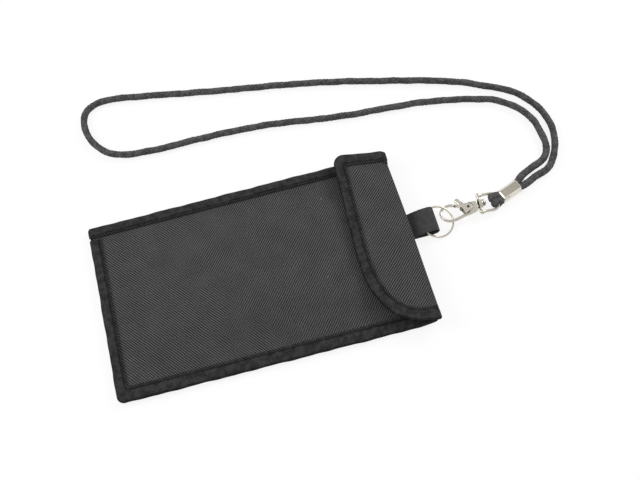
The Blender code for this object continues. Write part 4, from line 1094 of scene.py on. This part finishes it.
def seam_rise(x, y, run):
    """0 in the bound margins of the three closed sides, growing to 1 over a run inside them."""
    from_side = half_width(x) - np.abs(y)
    return eased(from_side, MARGIN, MARGIN + run) * eased(x + HALF_LENGTH, MARGIN, MARGIN + run)


def front_height(x, y):
    """The front's underside: the seam's height, the crown, puckers that fade from the seam, and waves."""
    crown = CROWN_HEIGHT * seam_rise(x, y, CROWN_RUN)
    from_side, from_closed_end = half_width(x) - np.abs(y), x + HALF_LENGTH
    from_seam = np.minimum(from_side, from_closed_end) - MARGIN
    beside = np.where(from_side < from_closed_end, x, y)
    fade = eased(from_seam / 0.002) * np.exp(-np.clip(from_seam, 0, None) / 0.006)
    pucker = PUCKER_HEIGHT * fade * waves(beside, (1, 900, 0), (0.8, 1410, 1))
    slow = np.sin(x * 62 + y * 38 + 0.6) + np.sin(x * 23 - y * 71 + 2.1) + 0.6 * np.sin(x * 121 + y * 17)
    handled = HANDLED_HEIGHT * slow * seam_rise(x, y, 0.018)
    return FRONT_MARGIN_HEIGHT + crown + (pucker + handled) * eased((0.052 - x) / 0.02)


front_rows = np.linspace(PANEL_INSET - HALF_LENGTH, MOUTH_X, 190)
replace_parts(level_cloth("front_cloth", front_rows, front_height, 130), "front_panel")


# One black polyester tape wraps the closed end and the near side with a mitred corner, a second one wraps the
# far side, and both are sewn through with one row of black thread near their inner edge.

TAPE = 0.0006
BINDING_WIDTH = 0.0078
BINDING_HEIGHT = 0.0037
TAPE_END_RADIUS = 0.0020
TAPE_EDGE_SHARE = 0.15
ROW_DEPTH = 0.86
GROOVE_DEPTH, GROOVE_WIDTH = 0.00034, 0.00045
CREASE_DEPTH, CREASE_WIDTH = 0.00030, 0.00035
STITCH_PITCH = 0.0027


def tape_section(height):
    """A C section as (depth from the outer edge as a share, height, is it on the outside): a round outer
    edge, two flats, and the same line again set in by the tape's thickness."""
    shares = np.array(
        (TAPE_EDGE_SHARE, 0.28, 0.42, 0.56, 0.68, 0.76, 0.82, ROW_DEPTH, 0.90, 0.95, 0.985, 1.0)
    )
    turn = np.linspace(-math.pi / 2, math.pi / 2, 11)
    half = height / 2
    edge = TAPE_EDGE_SHARE * (1 - np.cos(turn))
    outside_depth = np.concatenate([shares[::-1][:-1], edge, shares[1:]])
    outside_height = np.concatenate([shares[1:] * 0, half + half * np.sin(turn), shares[1:] * 0 + height])
    wall = TAPE * 0.92
    inner_edge = TAPE_EDGE_SHARE - (TAPE_EDGE_SHARE - wall / BINDING_WIDTH) * np.cos(turn[::-1])
    inner_height = half + (half - wall) * np.sin(turn[::-1])
    inside_depth = np.concatenate([[0.99, 0.6], inner_edge, [0.6, 0.99]])
    inside_height = np.concatenate([[height - wall] * 2, inner_height, [wall] * 2])
    depth = np.concatenate([outside_depth, inside_depth])
    level = np.concatenate([outside_height, inside_height])
    outside = np.concatenate([np.ones(len(outside_depth)), np.zeros(len(inside_depth))])
    return depth, level, outside


def tape_swell(depth, width, puff):
    """How far a tape stands out at a depth: a soft pillow out to the sewn row, and a groove along the row."""
    pillow = np.sin(math.pi * np.clip(depth / 0.84, 0, 1)) ** 0.8
    groove = np.exp(-(((depth - ROW_DEPTH) * width / GROOVE_WIDTH) ** 2))
    return puff * pillow - GROOVE_DEPTH * groove


tape_cloth = Finish("black binding tape", {"Roughness": 0.85, "Specular IOR Level": 0.25})
tape_along, tape_across, _ = tape_cloth.cloth_place().parts()
tape_depth = tape_cloth.mark("depth")
tape_ribs = (tape_along * 1650.0 + (tape_across * 700.0).wave() * 0.25).wave()
tape_fuzz = tape_cloth.noise(tape_cloth.place(), 1000.0, 3.0)
tape_fade = tape_cloth.noise(tape_cloth.place(), 300.0, 3.0).over(0.34, 0.66)
tape_holes = (tape_along * (1 / STITCH_PITCH) + tape_fuzz * 0.5).wave()
# Painted shade darkens the sewn row's groove and the rounded outer edge, a painted highlight lightens a strip
# inside the lip, and a painted shadow darkens the lip's very edge.
tape_row_shade = tape_depth.over(0.68, 0.78) * (1 - tape_depth.over(0.84, 0.90)) * (tape_holes * 0.25 + 0.75)
tape_edge_shade = 1 - tape_depth.over(0.01, 0.15)
tape_lip_highlight = tape_depth.over(0.86, 0.92)
tape_lip_shadow = tape_depth.over(0.955, 0.995)
tape_shade = tape_ribs * 0.20 + tape_fuzz * 0.78 + tape_fade * 0.40 - 0.28
tape_shade = tape_shade - tape_row_shade * 0.36 - tape_edge_shade * 0.45 + tape_lip_highlight * 0.08 - tape_lip_shadow * 0.60
tape_colour = tape_cloth.blend(tape_shade, (0.008, 0.008, 0.008, 1), (0.066, 0.066, 0.067, 1))
tape_cloth.feed("Base Color", tape_colour)
tape_cloth.relief(tape_ribs * 0.7 + tape_fuzz * 0.3, 0.00009)


def bound_edge(name, outer, inner, height, lift, body, mitres=()):
    """A tape carried round an edge: at each station its section stands between a point on the outer line and
    one on the inner line. The outer line sways a little, the sewn row sinks in, and the lip puckers."""
    run = distance_along((outer + inner) / 2)[:, None]
    depth, level, outside = (part[None] for part in tape_section(height))
    sway = waves(run, (0.00010, 310, 0.5), (0.00010, 173, 0), (0.00007, 611, 2))
    width = np.linalg.norm(inner - outer, axis=1)[:, None]
    inward = (inner - outer) / width
    reach = depth * width - sway * np.clip(1 - depth * 1.6, 0, 1)
    near_row = np.exp(-(((depth - ROW_DEPTH) * BINDING_WIDTH / 0.0012) ** 2))
    pucker = 0.00010 * np.sin(run * math.tau / STITCH_PITCH) * near_row
    place = outer[:, None] + inward[:, None] * reach[..., None]
    swell = tape_swell(depth, BINDING_WIDTH, 0.00018) + pucker
    for corner, square in mitres:
        off = (place - np.array(corner)) @ np.array(square)
        swell = swell - CREASE_DEPTH * np.exp(-((off / CREASE_WIDTH) ** 2)) * eased(depth * 4)
    shift = np.sign(level - height / 2) * outside * swell
    points = np.concatenate([place, (level + shift + lift)[..., None]], axis=-1)
    girth = distance_along(np.stack([depth[0] * BINDING_WIDTH, level[0]], axis=1))
    weave = cell_map(run[:, 0], np.append(girth, girth[-1] + TAPE))
    marks = {"depth": np.broadcast_to(depth, shift.shape)}
    return tube_piece(name, points, tape_cloth, body, weave, marks)


def end_rounding(x, end, radius=TAPE_END_RADIUS):
    """How far a tape's outer line turns in before its end: a quarter of a circle."""
    return radius * (1 - np.sqrt(1 - np.clip((x - end + radius) / radius, 0, 1) ** 2))


def edge_line(end_inset, inset, corner):
    """The closed end and the near side as one line, set in a little, with a rounded corner between. The outer
    line draws in slowly towards the fold, where the flap's tape pulls on it."""
    left = end_inset - HALF_LENGTH - 0.0002
    near = inset - half_width(-HALF_LENGTH)
    top = half_width(-HALF_LENGTH) - BINDING_WIDTH - TOUCH_GAP
    down = np.linspace(top, near + corner, 96)[:-1]
    first = np.stack([down * 0 + left, down], axis=1)
    bend = corner_arc(left + corner, near + corner, corner, math.pi, 1.5 * math.pi, 22)
    along = np.linspace(left + corner, HALF_LENGTH, 220)[1:]
    share = (along - left - corner) / (HALF_LENGTH - left - corner)
    low = near + (inset - half_width(HALF_LENGTH) - near) * share
    if inset == 0:
        draw = 0.0019 * np.clip((along - 0.0760) / 0.014, 0, 1) ** 2
        low = low + end_rounding(along, NEAR_TAPE_END) + draw
    return np.vstack([first, bend, np.stack([along, low], axis=1)])


END_TAPE_WIDTH = 0.0067
NEAR_TAPE_END = 0.0896
edge_outer, edge_inner = edge_line(0, 0, 0.0040), edge_line(END_TAPE_WIDTH, BINDING_WIDTH, 0.0006)
mitre_corner = (END_TAPE_WIDTH - HALF_LENGTH, BINDING_WIDTH - half_width(-HALF_LENGTH))
edge_mitre = (mitre_corner, (math.sqrt(0.5), -math.sqrt(0.5)))
edge_binding = bound_edge("edge_tape", edge_outer, edge_inner, BINDING_HEIGHT, 0, "pouch", [edge_mitre])
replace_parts(edge_binding, "edge_binding")

FAR_TAPE_WIDTH = 0.0067
FAR_TAPE_END = 0.0885
FAR_CORNER_RADIUS = 0.0014
far_x = np.linspace(-HALF_LENGTH, FAR_TAPE_END, 240)
far_rounding = end_rounding(-far_x, HALF_LENGTH, FAR_CORNER_RADIUS) + end_rounding(far_x, FAR_TAPE_END)
far_outer = np.stack([far_x, half_width(far_x) - far_rounding], axis=1)
far_inner = np.stack([far_x, half_width(far_x) - FAR_TAPE_WIDTH], axis=1)
top_binding = bound_edge("far_tape", far_outer, far_inner, BINDING_HEIGHT, 0, "pouch")
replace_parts(top_binding, "top_binding")

thread = Finish("black thread", {"Roughness": 0.6, "Specular IOR Level": 0.4})
thread_twist = thread.noise(thread.place(), 2400.0, 2.0)
thread.feed("Base Color", thread.blend(thread_twist, (0.006, 0.006, 0.006, 1), (0.040, 0.040, 0.041, 1)))


THREAD_RADIUS = 0.00021
THREAD_ARCH = 0.00009
THREAD_SINK = 0.00012


def stitches(name, outer, inner, level, lift, body):
    """A row of stitches along a tape: each is a short thread, thick in its middle, that dips at both ends.
    A thread is an arch carried along its own length, and all are copies of one grid."""
    line = outer + (inner - outer) * ROW_DEPTH
    flat = np.column_stack([line, np.broadcast_to(lift, len(line))])
    places = even_route(flat, STITCH_PITCH)
    ahead = np.gradient(places, axis=0)
    ahead /= np.linalg.norm(ahead, axis=1)[:, None]
    places = places[:-1] + ahead[:-1] * STITCH_PITCH / 2
    ahead = ahead[:-1]
    side = np.cross(ahead, (0, 0, 1))
    share = np.linspace(-1, 1, 6)[:, None]
    turn = np.linspace(0, math.tau, 6, endpoint=False)[None]
    radius = THREAD_RADIUS * np.sqrt(1 - 0.9 * share**2)
    along = 0.42 * STITCH_PITCH * share + turn * 0
    beside = radius * np.cos(turn)
    arch = radius * np.sin(turn) + THREAD_ARCH * (1 - share**2)
    sign = 1 if level > 0 else -1
    base = level - sign * THREAD_SINK
    grid = (
        places[:, None, None]
        + ahead[:, None, None] * along[None, ..., None]
        + side[:, None, None] * beside[None, ..., None]
    )
    grid[..., 2] += base + sign * arch[None]
    one = cells(6, 6, wrap=True)
    caps = np.array([[0, 1, 2, 3], [0, 3, 4, 5], [30, 33, 32, 31], [30, 35, 34, 33]])
    one = np.vstack([one, caps[:, ::-1]])
    faces = (one[None] + 36 * np.arange(len(places))[:, None, None]).reshape(-1, 4)
    return make_piece(name, grid, faces, thread, body)


for tape_name, outer, inner in (("edge", edge_outer, edge_inner), ("far", far_outer, far_inner)):
    stitches(tape_name + "_thread_front", outer, inner, BINDING_HEIGHT, 0, "pouch")
    stitches(tape_name + "_thread_back", outer, inner, 0, 0, "pouch")


# The mouth of the pocket, under the flap, is bound with the same tape. It follows the front panel's crown,
# and is sewn on its upper side.

MOUTH_TAPE_WIDTH = 0.0080
TAPE_WRAP = TAPE + TOUCH_GAP
WRAPPED_CLOTH = CLOTH + 2 * TAPE_WRAP
mouth_edge = MOUTH_X + TAPE_WRAP
mouth_reach = half_width(mouth_edge) - MARGIN - SEAM_RUN
mouth_y = np.linspace(-mouth_reach, mouth_reach, 120)
mouth_outer = np.stack([mouth_y * 0 + mouth_edge, mouth_y], axis=1)
mouth_inner = mouth_outer - np.array((MOUTH_TAPE_WIDTH, 0))
mouth_crown = CROWN_HEIGHT * seam_rise(mouth_edge, mouth_y, CROWN_RUN)
mouth_lift = FRONT_MARGIN_HEIGHT + mouth_crown - TAPE_WRAP
mouth_binding = bound_edge(
    "mouth_tape", mouth_outer, mouth_inner, WRAPPED_CLOTH, mouth_lift[:, None], "pouch"
)
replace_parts(mouth_binding, "mouth_binding")
stitches("mouth_thread", mouth_outer, mouth_inner, WRAPPED_CLOTH, mouth_lift, "pouch")


# The closure is one strip of loop tape sewn on the front panel, and one strip of hook tape under the flap.

PATCH_NEAR, PATCH_FAR = 0.0638, 0.0722
PATCH_LOW, PATCH_HIGH = -0.0150, 0.0270


def patch_plate(name, low, high, body):
    """A thin plate with rounded corners and edges: a superellipse that draws in towards both of its faces."""
    rise = np.linspace(-1, 1, 7)[:, None]
    across, up = rounded_box_line(PATCH_FAR - PATCH_NEAR, PATCH_HIGH - PATCH_LOW, 14, 96)
    pull = 0.0002 * (1 - np.sqrt(1 - 0.96 * rise**2))
    x = (PATCH_NEAR + PATCH_FAR) / 2 + across[None] - np.sign(across)[None] * pull
    y = (PATCH_LOW + PATCH_HIGH) / 2 + up[None] - np.sign(up)[None] * pull
    z = (low + high) / 2 + (high - low) / 2 * rise + 0 * x
    return tube_piece(name, np.stack([x, y, z], axis=-1), pile, body)


pile = Finish("black closure tape", {"Roughness": 0.95, "Specular IOR Level": 0.2})
pile_loops = pile.noise(pile.place(), 1500.0, 4.0, 0.7)
pile.feed("Base Color", pile.blend(pile_loops, (0.006, 0.006, 0.006, 1), (0.055, 0.055, 0.057, 1)))
pile.relief(pile_loops, 0.0005)
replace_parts(patch_plate("loop_tape", 0.0073, 0.0079, "pouch"), "loop_patch")


# The flap is cut from the same twill, turned the other way. It stands up on the fold, bends over and lies
# flat over the mouth. One corner of its free edge is small and the other is a long rounded sweep.

FLAP_UNDER = 0.0091
FLAP_INSET = 0.0014
FLAP_DEPTH = 0.0312
FLAP_CORNER = 0.0060
SWEEP_DEPTH, SWEEP_WIDTH, SWEEP_MIDDLE, SWEEP_POWER = 0.0339, 0.0478, -0.005, 2.6
FAR_RUN_OUT = 0.0034
FOLD_BOW = 0.00055
flap_twill = twill_finish("charcoal flap twill", 0.14, 0.00120, 44, 0.84, 0.50)


def far_edge(x):
    """The flap's far side at x: it runs out towards the free edge, and turns in over its last 3 mm."""
    share = np.clip((PANEL_END - x) / 0.0252, 0, 1)
    turn_in = 0.0013 * np.clip((x - PANEL_END + 0.0030) / 0.0030, 0, 1) ** 2
    return FOLD_HALF - 0.0006 + (FAR_RUN_OUT + 0.0006) * share - turn_in


def flap_sides(x):
    """The flap's two sides at x: the rounded sweep, a superellipse, and the far side, which ends in a round
    corner."""
    depth = np.clip((PANEL_END - x) / (SWEEP_DEPTH - FLAP_INSET), 0, 0.9999)
    low = SWEEP_MIDDLE - (SWEEP_WIDTH - FLAP_INSET) * (1 - depth**SWEEP_POWER) ** (1 / SWEEP_POWER)
    corner = FLAP_CORNER - FLAP_INSET
    past = np.clip(PANEL_END - FLAP_DEPTH + FLAP_CORNER - x, 0, corner * 0.98)
    return low, far_edge(x) - FLAP_INSET - (corner - np.sqrt(corner**2 - past**2))


def flap_cloth():
    """The bend's side view, then the flap, as one grid of rows: each row runs from side to side."""
    bend = np.array([
        (0.0884, 0, 0.0034), (0.08925, 0, 0.0037), (0.08958, 0, 0.0050), (0.08962, 0, 0.0066),
        (0.08960, 0, 0.0080), (0.08945, 0, 0.0089), (0.0890, 0, 0.00935), (0.0884, 0, 0.0095),
    ])
    side_view = even_route(smooth_route(bend, 8), 0.00028)
    flat_x = np.linspace(0.0881, 0.0592, 84)
    flat = np.stack([flat_x, flat_x * 0, flat_x * 0 + 0.0095], axis=1)
    line = np.vstack([side_view[:-1], flat])
    low, high = flap_sides(np.minimum(line[:, 0], PANEL_END - 0.0001))
    standing = line[:, 2] < 0.0094
    low = np.where(standing, FLAP_INSET - FOLD_HALF, low)
    high = np.where(standing, FOLD_HALF - 0.0019 - FLAP_INSET, high)
    across = np.linspace(0, 1, 120)
    y = low[:, None] + (high - low)[:, None] * across
    ahead = np.gradient(line, axis=0)
    ahead /= np.linalg.norm(ahead, axis=1)[:, None]
    out = np.stack([ahead[:, 2], ahead[:, 1], -ahead[:, 0]], axis=1) * CLOTH / 2
    middle = np.stack([line[:, :1] + y * 0, y, line[:, 2:] + y * 0], axis=-1)
    inner = eased((line[:, 0] - 0.062) / 0.01) * (line[:, 2] > 0.0092)
    slow = np.sin(y * 95 + line[:, :1] * 60) + 0.7 * np.sin(y * 41 - line[:, :1] * 130 + 1)
    middle[..., 2] += 0.00009 * slow * inner[:, None] * (0.0886 - line[:, :1]) / 0.02
    slack = eased(line[:, 2:], 0.0036, 0.0066)
    bow = slack * FOLD_BOW * (1 - (y / FOLD_HALF) ** 2)
    middle[..., 0] -= eased(line[:, :1], 0.078, 0.088) * (bow + fold_skew(y))
    run = distance_along(line)
    weave = np.stack([y * 0 - run[:, None], y], axis=-1)
    return middle - out[:, None], middle + out[:, None], weave


flap_under, flap_over, flap_weave = flap_cloth()
flap_sheet = cloth_piece("flap_cloth", flap_under, flap_over, flap_weave, flap_twill, None)
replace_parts(flap_sheet, "flap_spine", "flap_panel")
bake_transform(flap_sheet)


# One tape binds the flap's free edge from the fold round to the fold, sewn like the others. A short piece of
# it goes round the fold at each side, and the hook tape is sewn under the flap.

FLAP_TAPE_WIDTH = 0.0065
FAR_FLAP_TAPE_WIDTH = 0.0078
FOLD_TAPE_HEIGHT = 0.0025


def flap_line(inset, far_inset, corner):
    """The flap's edge from fold to fold: a superellipse, whose outer line flares at the fold, a straight, a
    round corner, and the far side."""
    turn = np.linspace(0.012, math.pi / 2, 90)
    along = np.sin(turn) ** (2 / SWEEP_POWER) * (SWEEP_DEPTH - inset)
    down = np.cos(turn) ** (2 / SWEEP_POWER) * (SWEEP_WIDTH - inset)
    sweep = np.stack([PANEL_END - along, SWEEP_MIDDLE - down], axis=1)
    sweep = np.vstack([[(PANEL_END, SWEEP_MIDDLE - (SWEEP_WIDTH - inset))], sweep])
    free_x = PANEL_END - FLAP_DEPTH + inset
    top_y = FOLD_HALF + FAR_RUN_OUT - far_inset
    bend = corner_arc(free_x + corner, top_y - corner, corner, math.pi, math.pi / 2, 18)
    side_x = np.linspace(bend[-1, 0], PANEL_END, 36)[1:]
    if inset == 0:
        sweep[:, 1] -= 0.0014 * eased(sweep[:, 0], PANEL_END - 0.0090, PANEL_END)
        side_y = far_edge(side_x)
    else:
        side_y = np.linspace(top_y, FOLD_HALF - 0.0076, len(side_x))
    free = np.linspace(0, 1, 70)[1:-1, None] * (bend[0] - sweep[-1]) + sweep[-1]
    return np.vstack([sweep, free, bend, np.stack([side_x, side_y], axis=1)])


flap_outer = flap_line(0, 0, FLAP_CORNER)
flap_inner = flap_line(FLAP_TAPE_WIDTH, FAR_FLAP_TAPE_WIDTH, 0.0006)
flap_tape_low = FLAP_UNDER - TAPE_WRAP
mitre_corner = (PANEL_END - FLAP_DEPTH + FLAP_TAPE_WIDTH, FOLD_HALF + FAR_RUN_OUT - FAR_FLAP_TAPE_WIDTH)
flap_mitre = (mitre_corner, (math.sqrt(0.5), math.sqrt(0.5)))
flap_binding = bound_edge(
    "flap_tape", flap_outer, flap_inner, WRAPPED_CLOTH, flap_tape_low, "flap", [flap_mitre]
)
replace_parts(flap_binding, "flap_binding")
stitches("flap_thread_over", flap_outer, flap_inner, WRAPPED_CLOTH, flap_tape_low, "flap")


def fold_tape(name, side, draw, width, low_edge, high_edge):
    """The tape's section carried round the fold's side view, from inside the pouch's tape into the flap's. It
    is drawn in as the fold is there. Its outer edge goes from the pouch tape's edge to the flap tape's."""
    view = [
        (0.0872, 0, 0.0020), (0.0885, 0, 0.0020), (0.0893, 0, 0.0026), (0.0896, 0, 0.0037),
        (0.0896, 0, 0.0052), (0.0896, 0, 0.0070), (0.0895, 0, 0.0081), (0.0890, 0, 0.0090),
        (0.0882, 0, 0.00945), (0.0872, 0, 0.0095),
    ]
    line = even_route(smooth_route(view, 8), 0.0003)
    run = distance_along(line)[:, None]
    depth, level, outside = (part[None] for part in tape_section(FOLD_TAPE_HEIGHT))
    line[:, 0] -= draw * eased(line[:, 0], 0.0872, 0.0886)
    edge = low_edge + (high_edge - low_edge) * eased(line[:, 2:], 0.003, 0.009)
    up = level - FOLD_TAPE_HEIGHT / 2
    reach = up + np.sign(up) * outside * tape_swell(depth, FLAP_TAPE_WIDTH, 0.00014) + 0 * run
    points = swept(line, (0, 1, 0), reach, side * (edge - depth * width))
    girth = distance_along(np.stack([depth[0] * FLAP_TAPE_WIDTH, level[0]], axis=1))
    weave = cell_map(run[:, 0], np.append(girth, girth[-1] + TAPE))
    marks = {"depth": np.broadcast_to(depth, reach.shape)}
    made = tube_piece(name, points, tape_cloth, None, weave, marks)
    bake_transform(made)


fold_tape("near_fold_tape", -1, 0.0008, 0.0074, 0.0524, 0.0540)
fold_tape("far_fold_tape", 1, 0.0021, 0.0066, 0.0520, 0.0509)
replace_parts(patch_plate("hook_tape", 0.0082, 0.0088, "flap"), "hook_patch")
